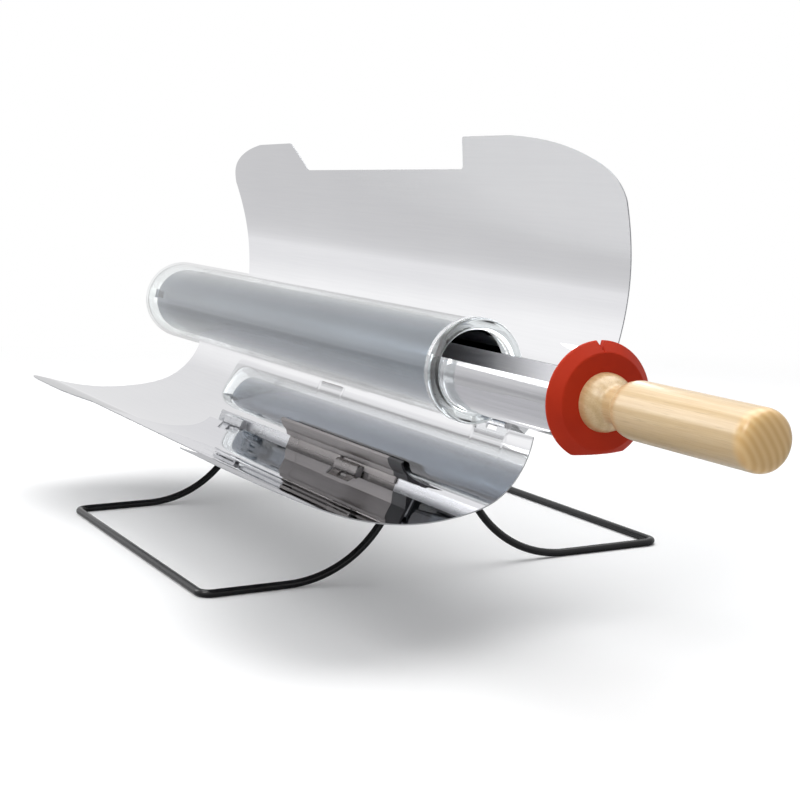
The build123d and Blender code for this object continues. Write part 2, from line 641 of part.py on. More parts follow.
# ---- tray, stopper and handle ---------------------------------------------------------
STOPPER_RADIUS = TUBE_RADIUS - STOPPER_INSET
STOPPER_FACE_RADIUS = STOPPER_RADIUS - STOPPER_BEVEL
STOPPER_BACK_X = MOUTH_X + PULLED_OUT
STOPPER_FRONT_X = STOPPER_BACK_X + STOPPER_THICKNESS
TRAY_END_X = STOPPER_BACK_X - END_PLATE - TRAY_LENGTH


def below_rim(x_range, radius):
    """Everything under the tray's open top."""
    return block(x_range, (-radius, radius), (-radius, TRAY_RIM_UP))


def tray():
    """Round-bottomed food trough of thin sheet, open along the top."""
    x_range = (TRAY_END_X, STOPPER_BACK_X - END_PLATE)
    shell = rod(*x_range, TRAY_RADIUS) - rod(*x_range, TRAY_RADIUS - TRAY_SHEET)
    return Pos(0, 0, -TRAY_DROP) * (shell & below_rim(x_range, TRAY_RADIUS))


def tray_tip():
    """End wall inside the trough's far end."""
    x_range = (TRAY_END_X, TRAY_END_X + TRAY_SHEET)
    radius = TRAY_RADIUS - TRAY_SHEET - FIT
    return Pos(0, 0, -TRAY_DROP) * (rod(*x_range, radius) & below_rim(x_range, radius))


def tray_mount():
    """Wall at the trough's outer end that is bolted to the stopper."""
    x_range = (STOPPER_BACK_X - END_PLATE, STOPPER_BACK_X)
    wall = Pos(0, 0, -TRAY_DROP) * (rod(*x_range, TRAY_RADIUS) & below_rim(x_range, TRAY_RADIUS))
    return wall - rod(*x_range, HANDLE_BOLT_RADIUS + FIT)


def stopper():
    """Silicone stopper: a bevelled disc with a steam vent on top and a flat underneath."""
    lip_x = STOPPER_BACK_X + STOPPER_LIP
    outline = Polyline(
        (STOPPER_BACK_X, 0),
        (STOPPER_BACK_X, STOPPER_RADIUS),
        (lip_x, STOPPER_RADIUS),
        (STOPPER_FRONT_X, STOPPER_FACE_RADIUS),
        (STOPPER_FRONT_X, 0),
        close=True,
    )
    disc = revolve(make_face(outline), Axis.X)
    x_range = (STOPPER_BACK_X - OVERRUN, STOPPER_FRONT_X + OVERRUN)
    flat_up = STOPPER_FLAT_DEPTH - STOPPER_RADIUS
    disc -= block(x_range, (-STOPPER_RADIUS, STOPPER_RADIUS), (-2 * STOPPER_RADIUS, flat_up))
    vent = Polyline(
        (-VENT_WIDTH / 2, STOPPER_RADIUS),
        (-VENT_WIDTH / 2, STOPPER_RADIUS + OVERRUN),
        (VENT_WIDTH / 2, STOPPER_RADIUS + OVERRUN),
        (VENT_WIDTH / 2, STOPPER_RADIUS),
        (0, STOPPER_RADIUS - VENT_DEPTH),
        close=True,
    )
    plane = Plane(origin=(x_range[0], 0, 0), x_dir=(0, 1, 0), z_dir=(1, 0, 0))
    disc -= extrude(plane * make_face(vent), x_range[1] - x_range[0])
    return disc - rod(*x_range, HANDLE_BOLT_RADIUS + FIT)


def handle():
    """Turned wooden handle: a half bead on the stopper, a waist and a straight grip."""
    waist_x = sqrt(BEAD_RADIUS**2 - WAIST_RADIUS**2)
    bead_turn = asin(waist_x / BEAD_RADIUS)
    bulge_along, bulge_out = SHOULDER_BULGE
    pull_along, pull_out = HANDLE_END_PULLS
    shoulder_x = GRIP_START - SHOULDER_LENGTH
    round_x = HANDLE_LENGTH - HANDLE_END_ROUND
    outline = [
        Line((0, 0), (0, BEAD_RADIUS)),
        ThreePointArc(
            (0, BEAD_RADIUS),
            (BEAD_RADIUS * sin(bead_turn / 2), BEAD_RADIUS * cos(bead_turn / 2)),
            (waist_x, WAIST_RADIUS),
        ),
        Line((waist_x, WAIST_RADIUS), (shoulder_x, WAIST_RADIUS)),
        ThreePointArc(
            (shoulder_x, WAIST_RADIUS),
            (
                shoulder_x + SHOULDER_LENGTH * bulge_along,
                WAIST_RADIUS + (GRIP_RADIUS - WAIST_RADIUS) * bulge_out,
            ),
            (GRIP_START, GRIP_RADIUS),
        ),
        Line((GRIP_START, GRIP_RADIUS), (round_x, GRIP_RADIUS)),
        Bezier(
            (round_x, GRIP_RADIUS),
            (round_x + HANDLE_END_ROUND * pull_along, GRIP_RADIUS),
            (HANDLE_LENGTH, GRIP_RADIUS * pull_out),
            (HANDLE_LENGTH, 0),
        ),
        Line((HANDLE_LENGTH, 0), (0, 0)),
    ]
    body = turned(outline) - rod(-OVERRUN, INSERT_LENGTH, INSERT_RADIUS + FIT)
    return Pos(STOPPER_FRONT_X, 0, 0) * body


def handle_insert():
    """Brass threaded sleeve in the handle."""
    sleeve = rod(0, INSERT_LENGTH, INSERT_RADIUS)
    sleeve -= rod(-OVERRUN, INSERT_LENGTH + OVERRUN, HANDLE_BOLT_RADIUS + FIT)
    return Pos(STOPPER_FRONT_X, 0, 0) * sleeve


def handle_bolt():
    """Bolt from inside the tray through wall and stopper into the insert."""
    head_x = STOPPER_BACK_X - END_PLATE
    bolt = rod(head_x, STOPPER_FRONT_X + INSERT_LENGTH - BOLT_END_GAP, HANDLE_BOLT_RADIUS)
    return bolt + rod(head_x - HANDLE_BOLT_HEAD_HEIGHT, head_x, HANDLE_BOLT_HEAD_RADIUS)


# ---- every node -----------------------------------------------------------------------
def build_nodes():
    """All pieces in their nodes, placed in the cooker's frame at rest."""
    nodes = {
        "rail": rail(),
        "cradle": cradle(),
        "saddle_screws": saddle_screws(),
        "bracket_screws": bracket_screws(),
        "friction_washers": friction_washers(),
        "pivot_nuts": pivot_nuts(),
        "outer_glass": outer_glass(),
        "inner_glass": inner_glass(),
        "getter_clip": getter_clip(),
        "getter": getter(),
    }
    for name, x in SADDLE_PLACES.items():
        nodes[f"saddle_{name}"] = saddle(x)
        nodes[f"saddle_pad_{name}"] = saddle_pad(x)
    for name, side in {"near": 1, "far": -1}.items():
        nodes[f"bracket_{name}"] = bracket(side * ARM_X)
        nodes[f"pivot_bolt_{name}"] = pivot_bolt(side)
    pairs = {
        "reflector": reflector(),
        "hinge_leaves": hinge_leaves(),
        "rivets": rivets(),
        "hinge_pins": hinge_pins(),
    }
    for name, shape in pairs.items():
        nodes[f"{name}_back"], nodes[f"{name}_front"] = on_both_sides(shape)
    nodes = {name: TIPPED * shape for name, shape in nodes.items()}
    nodes["leg_front"] = leg_front()
    nodes["leg_back"] = leg_back()
    held = {
        "tray": tray(),
        "tray_tip": tray_tip(),
        "tray_mount": tray_mount(),
        "stopper": stopper(),
        "handle": handle(),
        "handle_insert": handle_insert(),
        "handle_bolt": handle_bolt(),
    }
    nodes.update({name: TRAY_LINE * shape for name, shape in held.items()})
    return nodes


os.makedirs("parts", exist_ok=True)
for node_name, node_shape in build_nodes().items():
    export_step(node_shape, f"parts/{node_name}.step")
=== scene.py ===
# %% [markdown]
# # A folding solar cooker in a white studio
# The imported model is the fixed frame: every pin, rail and mirror already has its real size and place.
# This script dresses it. It could move the parts to suit the picture, but then the motion and the looks
# would drift apart, so here pieces are only finished, or replaced by smoother ones in the same place.

# %% Load the frame
import json
from math import cos, pi, radians, sin

import bmesh
import bpy
import numpy as np
from mathutils import Matrix, Vector


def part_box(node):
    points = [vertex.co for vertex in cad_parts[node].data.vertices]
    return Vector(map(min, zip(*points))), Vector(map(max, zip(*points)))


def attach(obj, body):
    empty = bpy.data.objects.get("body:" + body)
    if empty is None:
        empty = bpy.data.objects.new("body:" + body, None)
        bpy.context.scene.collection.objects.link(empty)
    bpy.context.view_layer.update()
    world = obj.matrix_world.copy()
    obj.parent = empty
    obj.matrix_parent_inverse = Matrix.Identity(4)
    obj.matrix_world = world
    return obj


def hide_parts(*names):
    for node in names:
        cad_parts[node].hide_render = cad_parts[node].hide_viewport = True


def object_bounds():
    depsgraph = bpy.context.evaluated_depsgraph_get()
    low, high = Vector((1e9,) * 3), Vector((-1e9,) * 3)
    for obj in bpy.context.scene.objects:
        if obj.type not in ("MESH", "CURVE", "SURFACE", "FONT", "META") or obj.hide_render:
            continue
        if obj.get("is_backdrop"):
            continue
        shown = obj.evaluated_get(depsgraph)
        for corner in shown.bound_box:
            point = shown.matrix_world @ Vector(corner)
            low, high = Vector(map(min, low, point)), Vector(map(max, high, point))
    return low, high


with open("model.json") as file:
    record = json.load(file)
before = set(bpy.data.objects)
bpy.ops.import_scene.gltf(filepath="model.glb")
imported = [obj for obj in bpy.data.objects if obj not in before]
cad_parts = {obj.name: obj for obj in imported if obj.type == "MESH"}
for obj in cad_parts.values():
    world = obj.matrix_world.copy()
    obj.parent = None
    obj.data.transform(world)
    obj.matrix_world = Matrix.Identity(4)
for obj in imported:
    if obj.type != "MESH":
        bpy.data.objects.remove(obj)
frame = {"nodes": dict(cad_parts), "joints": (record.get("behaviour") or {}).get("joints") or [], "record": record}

MM = 0.001
cad_box = [list(corner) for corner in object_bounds()]
nodes = frame["nodes"]
print("nodes:", len(nodes), "cad box:", np.round(cad_box, 4).tolist())

# %% [markdown]
# ## Camera
# A product picture is taken from some way off with a long lens, so that the tube does not look like a
# funnel. The camera could be aimed with a constraint, but a rotation worked out from heading and tilt says
# plainly where it looks, and keeps the small roll that a hand-held camera has.

# %% The camera
CAMERA_PLACE = (1.3019, -0.5823, 0.3196)
CAMERA_HEADING = 153.996
CAMERA_DOWN = 8.382
CAMERA_ROLL = 0.049
LENS = 78.176
SENSOR = 36.0


def add_camera():
    """Camera looking along its heading, tipped down and rolled a little about its own line of sight."""
    heading, down = radians(CAMERA_HEADING), radians(CAMERA_DOWN)
    sight = Vector((cos(down) * cos(heading), cos(down) * sin(heading), -sin(down)))
    data = bpy.data.cameras.new("studio_camera")
    data.lens, data.sensor_width = LENS, SENSOR
    camera = bpy.data.objects.new("studio_camera", data)
    bpy.context.collection.objects.link(camera)
    turn = sight.to_track_quat("-Z", "Y").to_matrix().to_4x4()
    roll = Matrix.Rotation(radians(CAMERA_ROLL), 4, "Z")
    camera.matrix_world = Matrix.Translation(CAMERA_PLACE) @ turn @ roll
    bpy.context.scene.camera = camera


add_camera()
bpy.context.scene.view_settings.view_transform = "Standard"
print("camera at", CAMERA_PLACE, "lens", LENS)

# %% [markdown]
# ## Shader arithmetic
# A finish is mostly arithmetic on masks. Dragging nodes for every sum hides the idea, so one small class
# wraps a node's output: sums, products and comparisons written on it add Math nodes, and `node` adds any
# other kind.


# %% Wires: node outputs that can be added and multiplied
class Wire:
    """One output in a node tree. Arithmetic on it adds Math nodes beside it."""

    def __init__(self, tree, socket=None):
        self.tree = tree
        self.socket = socket

    def node(self, kind, settings=None, out=0, **inputs):
        """Adds a node: settings first, then inputs by name, or by place as i0, i1. Gives one output of it."""
        made = self.tree.nodes.new("ShaderNode" + kind)
        for name, value in (settings or {}).items():
            setattr(made, name, value)
        for name, value in inputs.items():
            numbered = name[0] == "i" and name[1:].isdigit()
            socket = made.inputs[int(name[1:]) if numbered else name.replace("_", " ")]
            if isinstance(value, Wire):
                self.tree.links.new(value.socket, socket)
            else:
                socket.default_value = value
        return Wire(self.tree, made.outputs[out])

    def math(self, operation, first, second=0.0):
        """A Math node of the given kind."""
        return self.node("Math", {"operation": operation}, i0=first, i1=second)

    def __add__(self, other):
        return self.math("ADD", self, other)

    def __sub__(self, other):
        return self.math("SUBTRACT", self, other)

    def __rsub__(self, other):
        return self.math("SUBTRACT", other, self)

    def __mul__(self, other):
        return self.math("MULTIPLY", self, other)

    def __pow__(self, other):
        return self.math("POWER", self, other)

    def __gt__(self, other):
        return self.math("GREATER_THAN", self, other)

    def __lt__(self, other):
        return self.math("LESS_THAN", self, other)

    def between(self, low, high):
        """0 below low, 1 above high, and a smooth step in between."""
        smooth = {"interpolation_type": "SMOOTHSTEP"}
        return self.node("MapRange", smooth, Value=self, From_Min=low, From_Max=high)

    def blend(self, first, second):
        """Colour that goes from first to second as this value goes from 0 to 1."""
        return self.node("Mix", {"data_type": "RGBA"}, out=2, i0=self, i6=first, i7=second)

    def choose(self, first, second):
        """Surface or light that goes from first to second as this value goes from 0 to 1."""
        return self.node("MixShader", i0=self, i1=first, i2=second)

    def part(self, letter):
        """The X, Y or Z of a vector."""
        return self.node("SeparateXYZ", out=letter, Vector=self)

    def ray(self, kind):
        """1 for one kind of ray, such as Camera or Glossy, and 0 for the others."""
        return self.node("LightPath", out=f"Is {kind} Ray")


# %% Patterns and materials
EVEN = (1.0, 1.0, 1.0)


def place(wire, stretch=EVEN, shift=(0.0, 0.0, 0.0)):
    """Object coordinates, scaled and shifted, to lay a pattern along or around a piece."""
    here = wire.node("TexCoord", out="Object")
    return wire.node("Mapping", Vector=here, Scale=stretch, Location=shift)


def noise(wire, stretch, scale, detail=3.0, rough=0.5, shift=(0.0, 0.0, 0.0)):
    """Noise between about 0.3 and 0.7 on stretched object coordinates."""
    spot = place(wire, stretch, shift)
    return wire.node("TexNoise", Vector=spot, Scale=scale, Detail=detail, Roughness=rough)


def new_material(name):
    """Empty node material; gives a wire to build on and the function that connects the finished surface."""
    material = bpy.data.materials.new(name)
    material.use_nodes = True
    tree = material.node_tree
    tree.nodes.clear()
    end = tree.nodes.new("ShaderNodeOutputMaterial")

    def finish(surface):
        tree.links.new(surface.socket, end.inputs["Surface"])
        return material

    return Wire(tree), finish


def bump(wire, height, distance):
    """Normal that follows a height of 0 to 1, where 1 stands for the distance in metres."""
    return wire.node("Bump", Height=height, Distance=distance, Strength=1.0)


# %% [markdown]
# ## Sheet metals
# Rolled sheet is never even: the rolls leave long faint streaks, and handling leaves soft cloudy smears.
# An image of scratches would tile and blur, so streaks and clouds are noise, stretched along the rolling
# direction. The bright mirror face also bows by hundredths of a millimetre, which is what bends the
# reflections in it.
#
# Two finishes need something more. The rail and the hinges have the brown-grey of the long trough where they
# run beside it and are bright beyond, so their colour changes by the place along X. And light that is caught
# between two mirrors ends where the renderer stops counting, which leaves black stripes. More bounces would
# cost time; instead the mirror face glows a plain pale tone once a ray has been mirrored a few times. This
# is a painted reflection in place of the light that would go on bouncing there.


# %% Numbers of the metals
CRADLE_DARK = (0.27, 0.255, 0.25, 1)
CRADLE_PALE = (0.33, 0.31, 0.30, 1)
CRADLE_START = -94.0 * MM
CRADLE_END = 122.0 * MM
LAST_BOUNCE = 3.5
# Painted reflection: colour and strength of the glow the mirror face gives after the last counted bounce.
PAINTED_REFLECTION_COLOUR = (0.98, 0.98, 1.0, 1)
PAINTED_REFLECTION_STRENGTH = 0.55


# %% How every sheet metal is made
def sheet_metal(
    name,
    colour,
    dark,
    rough,
    streak=0.05,
    wave=0.0,
    grain=0.01 * MM,
    along=(2.0, 90.0, 90.0),
    metallic=1.0,
    banded=False,
    painted_reflection=False,
):
    """Metal with streaks along X: colour and roughness follow them, and a slow wave bends the surface.

    Banded metal is brown-grey beside the trough. After many bounces the face glows: a painted reflection.
    """
    wire, finish = new_material(name)
    streaks = noise(wire, along, 6.0, detail=4.0, rough=0.6)
    clouds = noise(wire, EVEN, 11.0, detail=3.0, shift=(0.3, 0.1, 0.7))
    shade = (streaks * 0.6 + clouds * 0.4).between(0.25, 0.75)
    bent = noise(wire, (0.6, 1.0, 1.0), 7.0, detail=1.0, shift=(1.3, 0.0, 0.4))
    fine = noise(wire, along, 30.0, detail=2.0)
    normal = bump(wire, bent * wave + fine * grain, 1.0)
    tone = shade.blend(dark, colour)
    if banded:
        along_x = place(wire).part("X")
        beside_trough = (along_x > CRADLE_START) * (along_x < CRADLE_END)
        tone = beside_trough.blend(tone, shade.blend(CRADLE_DARK, CRADLE_PALE))
    surface = wire.node(
        "BsdfPrincipled",
        Base_Color=tone,
        Metallic=metallic,
        Roughness=shade * -streak + (rough + streak),
        Normal=normal,
    )
    # Painted reflection: past the last bounce the face glows a plain pale tone instead of reflecting.
    if painted_reflection:
        painted_reflection_glow = wire.node("Emission", Color=PAINTED_REFLECTION_COLOUR, Strength=PAINTED_REFLECTION_STRENGTH)
        times_mirrored = wire.node("LightPath", out="Glossy Depth")
        surface = (times_mirrored > LAST_BOUNCE).choose(surface, painted_reflection_glow)
    return finish(surface)


# %% The metals
MIRROR_FACE = sheet_metal(
    "mirror_face",
    (0.91, 0.91, 0.925, 1),
    (0.87, 0.87, 0.89, 1),
    0.006,
    streak=0.012,
    wave=0.12 * MM,
    grain=0.0,
    painted_reflection=True,
)
MIRROR_BACK = sheet_metal(
    "mirror_back",
    (0.52, 0.53, 0.55, 1),
    (0.45, 0.46, 0.48, 1),
    0.36,
    streak=0.06,
    wave=0.2 * MM,
    metallic=0.3,
)
TRAY_STEEL = sheet_metal(
    "tray_steel", (0.58, 0.58, 0.60, 1), (0.49, 0.49, 0.51, 1), 0.07, streak=0.05, wave=0.1 * MM
)
# Painted light: the inside steel is much lighter than the outside, standing in for light inside the tube.
TRAY_INSIDE_LIGHTENED = sheet_metal("tray_inside_painted_light", (0.90, 0.90, 0.91, 1), (0.80, 0.80, 0.82, 1), 0.60, streak=0.08)
CRADLE_ALUMINIUM = sheet_metal("cradle_aluminium", CRADLE_PALE, CRADLE_DARK, 0.38)
SPINE_ALUMINIUM = sheet_metal(
    "spine_aluminium", (0.86, 0.87, 0.89, 1), (0.78, 0.79, 0.81, 1), 0.24, grain=0.001 * MM, banded=True
)
HINGE_ALUMINIUM = sheet_metal(
    "hinge_aluminium", (0.86, 0.87, 0.89, 1), (0.78, 0.79, 0.81, 1), 0.16, grain=0.001 * MM, banded=True
)
FASTENER_STEEL = sheet_metal(
    "fastener_steel", (0.58, 0.58, 0.59, 1), (0.36, 0.36, 0.38, 1), 0.26, along=(40.0, 40.0, 40.0)
)
INSERT_BRASS = sheet_metal("insert_brass", (0.78, 0.58, 0.26, 1), (0.58, 0.42, 0.18, 1), 0.24)
CLIP_STEEL = sheet_metal("clip_steel", (0.93, 0.94, 0.93, 1), (0.84, 0.85, 0.84, 1), 0.42)
GETTER_METAL = sheet_metal("getter_metal", (0.70, 0.70, 0.72, 1), (0.40, 0.40, 0.43, 1), 0.12)
print("materials so far:", len(bpy.data.materials))

# %% [markdown]
# ## Glass and its dark coating
# The outer tube is clear borosilicate. True refraction in a thin wall costs many samples and hardly bends
# the view, so the wall lets light straight through and adds a reflection that grows towards the edges.
# The thick ring at the mouth does bend the view, so that one is real glass. The inner tube has a
# blue-grey metal coating, sputtered while it turns, which leaves soft bands along it.


# %% Glass finishes
EDGE_GLOSS = 1.7


def thin_glass(name):
    """Clear wall: straight through, with a reflection by Fresnel on its outward side and faint dust in it."""
    wire, finish = new_material(name)
    dust = noise(wire, (1.0, 4.0, 4.0), 9.0, detail=4.0).between(0.35, 0.8)
    through = wire.node("BsdfTransparent", Color=(0.975, 0.985, 0.985, 1))
    gloss = wire.node("BsdfGlossy", Color=(1, 1, 1, 1), Roughness=dust * 0.03 + 0.01)
    outward = 1.0 - wire.node("NewGeometry", out="Backfacing")
    edge = wire.node("Fresnel", IOR=1.5) * outward * EDGE_GLOSS
    return finish(edge.choose(through, gloss))


def thick_glass(name):
    """Solid glass ring: real refraction, but its shadow stays light."""
    wire, finish = new_material(name)
    ripple = noise(wire, EVEN, 40.0, detail=2.0)
    glass = wire.node(
        "BsdfPrincipled",
        Base_Color=(0.97, 0.99, 0.99, 1),
        Roughness=ripple * 0.02,
        IOR=1.47,
        Transmission_Weight=1.0,
        Normal=bump(wire, ripple, 0.05 * MM),
    )
    through = wire.node("BsdfTransparent", Color=(0.9, 0.92, 0.92, 1))
    return finish(wire.ray("Shadow").choose(glass, through))


def coating(name):
    """Selective coating: satin blue-grey metal with soft bands along the tube."""
    wire, finish = new_material(name)
    bands = noise(wire, (1.2, 26.0, 26.0), 2.2, detail=3.0)
    clouds = noise(wire, EVEN, 9.0, detail=2.0)
    shade = (bands * 0.7 + clouds * 0.3).between(0.3, 0.7)
    surface = wire.node(
        "BsdfPrincipled",
        Base_Color=shade.blend((0.155, 0.182, 0.225, 1), (0.225, 0.262, 0.315, 1)),
        Metallic=1.0,
        Roughness=shade * 0.06 + 0.13,
        Normal=bump(wire, bands, 0.05 * MM),
    )
    return finish(surface)


CLEAR_GLASS = thin_glass("clear_glass")
RING_GLASS = thick_glass("ring_glass")
COATING = coating("selective_coating")

# %% [markdown]
# ## Wood, silicone, paint and plastic
# Turned beech shows one body of wood from every side: long lines on the round of the handle and slanting
# stripes on its end. A flat wood picture wrapped round it would give the end away, so the growth rings are
# solid: cylinders about a heart that lies off to one side of the handle. The end is more saturated than the
# sides, as end grain takes up more varnish, and it is also painted lighter: painted light on the end.


# %% Turned beech
HEART_ACROSS = 55.0 * MM
HEART_UP = 30.0 * MM
RING_SPACING = 4.2 * MM
RING_WARP = 6.0 * MM
END_GRAIN = (0.617, 0.626)


def beech(name, axis_y, axis_z):
    """Growth rings as distance from an off-centre heart, with fine fibres and pores along X."""
    wire, finish = new_material(name)
    spot = place(wire, shift=(0.0, -axis_y + HEART_ACROSS, -axis_z + HEART_UP))
    warp = noise(wire, (1.2, 14.0, 14.0), 1.6, detail=2.0)
    distance = (spot.part("Y") ** 2.0 + spot.part("Z") ** 2.0) ** 0.5 + warp * RING_WARP
    rings = wire.math("SINE", distance * (2 * pi / RING_SPACING)) * 0.5 + 0.5
    fibres = noise(wire, (8.0, 420.0, 420.0), 3.0, detail=4.0, rough=0.6).between(0.3, 0.75)
    pores = noise(wire, (30.0, 900.0, 900.0), 2.0, detail=1.0).between(0.62, 0.72)
    body = rings.blend((0.68, 0.48, 0.235, 1), (0.76, 0.56, 0.30, 1))
    body = (fibres * 0.5).blend(body, (0.56, 0.36, 0.16, 1))
    body = (pores * 0.35).blend(body, (0.42, 0.26, 0.12, 1))
    # End grain: a more saturated orange, and also painted lighter than the sides as painted light on the end.
    end_tone_with_painted_light = rings.blend((0.80, 0.48, 0.165, 1), (0.92, 0.61, 0.26, 1))
    body = spot.part("X").between(*END_GRAIN).blend(body, end_tone_with_painted_light)
    surface = wire.node(
        "BsdfPrincipled",
        Base_Color=body,
        Roughness=fibres * 0.12 + 0.34,
        Normal=bump(wire, fibres - pores, 0.03 * MM),
        Coat_Weight=0.9,
        Coat_Roughness=0.27,
    )
    return finish(surface)


# %% Moulded and sprayed finishes
def moulded(name, colour, dark, rough, grain=0.02, scale=900.0, shine=0.5):
    """Moulded or sprayed surface: fine grain in the height, clouds in colour and roughness."""
    wire, finish = new_material(name)
    clouds = noise(wire, EVEN, 26.0, detail=4.0).between(0.3, 0.7)
    fine = noise(wire, EVEN, scale, detail=2.0)
    surface = wire.node(
        "BsdfPrincipled",
        Base_Color=clouds.blend(dark, colour),
        Roughness=clouds * 0.08 + rough,
        Normal=bump(wire, fine, grain * MM),
        Specular_IOR_Level=shine,
    )
    return finish(surface)


SILICONE = moulded("red_silicone", (0.57, 0.036, 0.010, 1), (0.50, 0.029, 0.008, 1), 0.48, shine=0.15)
LEG_PAINT = moulded(
    "leg_paint",
    (0.004, 0.004, 0.005, 1),
    (0.003, 0.003, 0.004, 1),
    0.16,
    grain=0.005,
    scale=300.0,
    shine=0.4,
)
BRACKET_PAINT = moulded(
    "bracket_paint", (0.02, 0.02, 0.022, 1), (0.012, 0.012, 0.013, 1), 0.42, grain=0.04
)
SADDLE_PLASTIC = moulded(
    "saddle_plastic", (0.012, 0.012, 0.014, 1), (0.008, 0.008, 0.01, 1), 0.42, grain=0.05
)
PAD_RUBBER = moulded("pad_rubber", (0.26, 0.26, 0.27, 1), (0.20, 0.20, 0.21, 1), 0.6, grain=0.05)
WASHER_NYLON = moulded("washer_nylon", (0.78, 0.76, 0.70, 1), (0.68, 0.66, 0.60, 1), 0.45)
print("materials so far:", len(bpy.data.materials))

# %% [markdown]
# ## Surfaces worked out as grids
# Every new piece is a grid of points: rows along one direction, columns along the other. Typing vertices
# or pulling them by hand would not keep to the frame, while a formula does. The helpers turn a grid into a
# closed mesh, ride it on its body and let it stand for the plain solid that it covers.


# %% Faces and border of a grid
def grid_faces(rows, columns, start=0):
    """Four-sided faces of a grid of rows by columns points, numbered row by row."""
    corner = start + np.arange(rows - 1)[:, None] * columns + np.arange(columns - 1)[None, :]
    corner = corner.ravel()
    return np.stack([corner, corner + 1, corner + columns + 1, corner + columns], axis=1)


def edge_loop(rows, columns):
    """Point numbers round the border of a grid, back to the first one."""
    top = np.arange(columns)
    right = np.arange(1, rows) * columns + columns - 1
    bottom = (rows - 1) * columns + np.arange(columns - 2, -1, -1)
    left = np.arange(rows - 2, -1, -1) * columns
    return np.concatenate([top, right, bottom, left])


# %% From points to a finished piece
DOUBLES = 0.002 * MM
SMALLEST_EDGE = 0.001 * MM


def make_piece(name, points, faces, materials, body, replaced, layers=None, sharp=32.0):
    """Mesh from points and faces: doubles merged, normals outwards, smooth except at sharp edges."""
    mesh = bpy.data.meshes.new(name)
    mesh.from_pydata(points.reshape(-1, 3).tolist(), [], faces.tolist())
    for material in materials:
        mesh.materials.append(material)
    if layers is not None:
        mesh.polygons.foreach_set("material_index", layers.astype(np.int32))
    work = bmesh.new()
    work.from_mesh(mesh)
    bmesh.ops.remove_doubles(work, verts=work.verts, dist=DOUBLES)
    bmesh.ops.dissolve_degenerate(work, edges=work.edges, dist=SMALLEST_EDGE)
    bmesh.ops.recalc_face_normals(work, faces=work.faces)
    work.to_mesh(mesh)
    work.free()
    mesh.polygons.foreach_set("use_smooth", np.ones(len(mesh.polygons), dtype=bool))
    mesh.set_sharp_from_angle(angle=radians(sharp))
    piece = bpy.data.objects.new(name, mesh)
    bpy.context.collection.objects.link(piece)
    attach(piece, body)
    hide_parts(*replaced)
    print(name, "faces", len(mesh.polygons))
    return piece


# %% Sheets, turned skins and paths
def sheet_shell(face, back):
    """Closed thin sheet from its two faces, given as grids of the same size, with the rim between."""
    rows, columns = face.shape[:2]
    count = rows * columns
    border = edge_loop(rows, columns)
    rim = np.stack([border[:-1], border[1:], border[1:] + count, border[:-1] + count], axis=1)
    faces = np.concatenate([grid_faces(rows, columns), grid_faces(rows, columns, count), rim])
    layers = (np.arange(len(faces)) >= (rows - 1) * (columns - 1)).astype(int)
    return np.concatenate([face.reshape(-1, 3), back.reshape(-1, 3)]), faces, layers


def turned_grid(profile, centre, steps):
    """Grid of a profile of (x, radius) points turned about a line along X through centre (y, z)."""
    turn = np.linspace(0, 2 * pi, steps + 1)
    along = np.repeat(profile[:, 0][:, None], steps + 1, axis=1)
    across = centre[0] + profile[:, 1][:, None] * np.cos(turn)
    up = centre[1] + profile[:, 1][:, None] * np.sin(turn)
    return np.stack([along, across, up], axis=2)


def arc(centre, radius, start, end, steps):
    """Points on a circle from one angle to another, in degrees."""
    turn = np.radians(np.linspace(start, end, steps))
    return np.stack([centre[0] + radius * np.cos(turn), centre[1] + radius * np.sin(turn)], axis=1)


def along_line(points, spacing):
    """The same path with points at even steps of about the given spacing."""
    points = np.asarray(points, dtype=float)
    lengths = np.concatenate([[0], np.cumsum(np.linalg.norm(np.diff(points, axis=0), axis=1))])
    wanted = np.linspace(0, lengths[-1], max(2, int(lengths[-1] / spacing) + 1))
    return np.stack([np.interp(wanted, lengths, points[:, i]) for i in range(points.shape[1])], axis=1)


# %% [markdown]
# ## The two mirrors
# Each mirror is one sheet bent about the tube's direction only, so any point on it has two honest
# coordinates: its place along X and its distance from the hinge along the sheet's chord. The outline is
# drawn flat in those coordinates, filled with a grid, and only then laid on the curve. A subdivided cage
# would round off the notch; a flat outline keeps its corners.

# %% Numbers of the mirror sheet
MIRROR_CURVE = [
    (2.7, -0.8),
    (27.5, -9.5),
    (49.0, -7.7),
    (71.5, 4.6),
    (100.0, 30.2),
    (124.0, 64.0),
    (146.4, 111.9),
]
AIM_TILT = 44.0
SHEET = 0.8
NEAR_FOOT_X = 356.0
NEAR_CORNER = [(375.0, 142.5), (369.5, 155.0), (350.0, 166.0), (312.0, 175.8), (252.0, 181.2)]
NOTCH_NEAR = [(180.0, 180.5), (165.0, 158.5)]
NOTCH_FAR = [(-129.0, 154.0), (-148.0, 176.0)]
NOTCH_ROUND = 5.0
FAR_CORNER = [
    (-223.0, 174.6),
    (-250.0, 171.4),
    (-275.0, 166.8),
    (-297.0, 160.4),
    (-313.0, 151.5),
    (-320.0, 140.5),
]
FAR_MIDDLE = (-302.0, 70.0)
FAR_FOOT_X = -274.0
HINGE_PLACES = [-215.0, 42.0, 300.0]
HINGE_HALF = 22.7
HINGE_ROOM = 3.6
FOOT_CHORD = 1.0
hinge_places = {joint["name"]: joint["pos_m"] for joint in frame["joints"] if "pos_m" in joint}
print("hinges:", {name: np.round(pos, 4).tolist() for name, pos in hinge_places.items()})


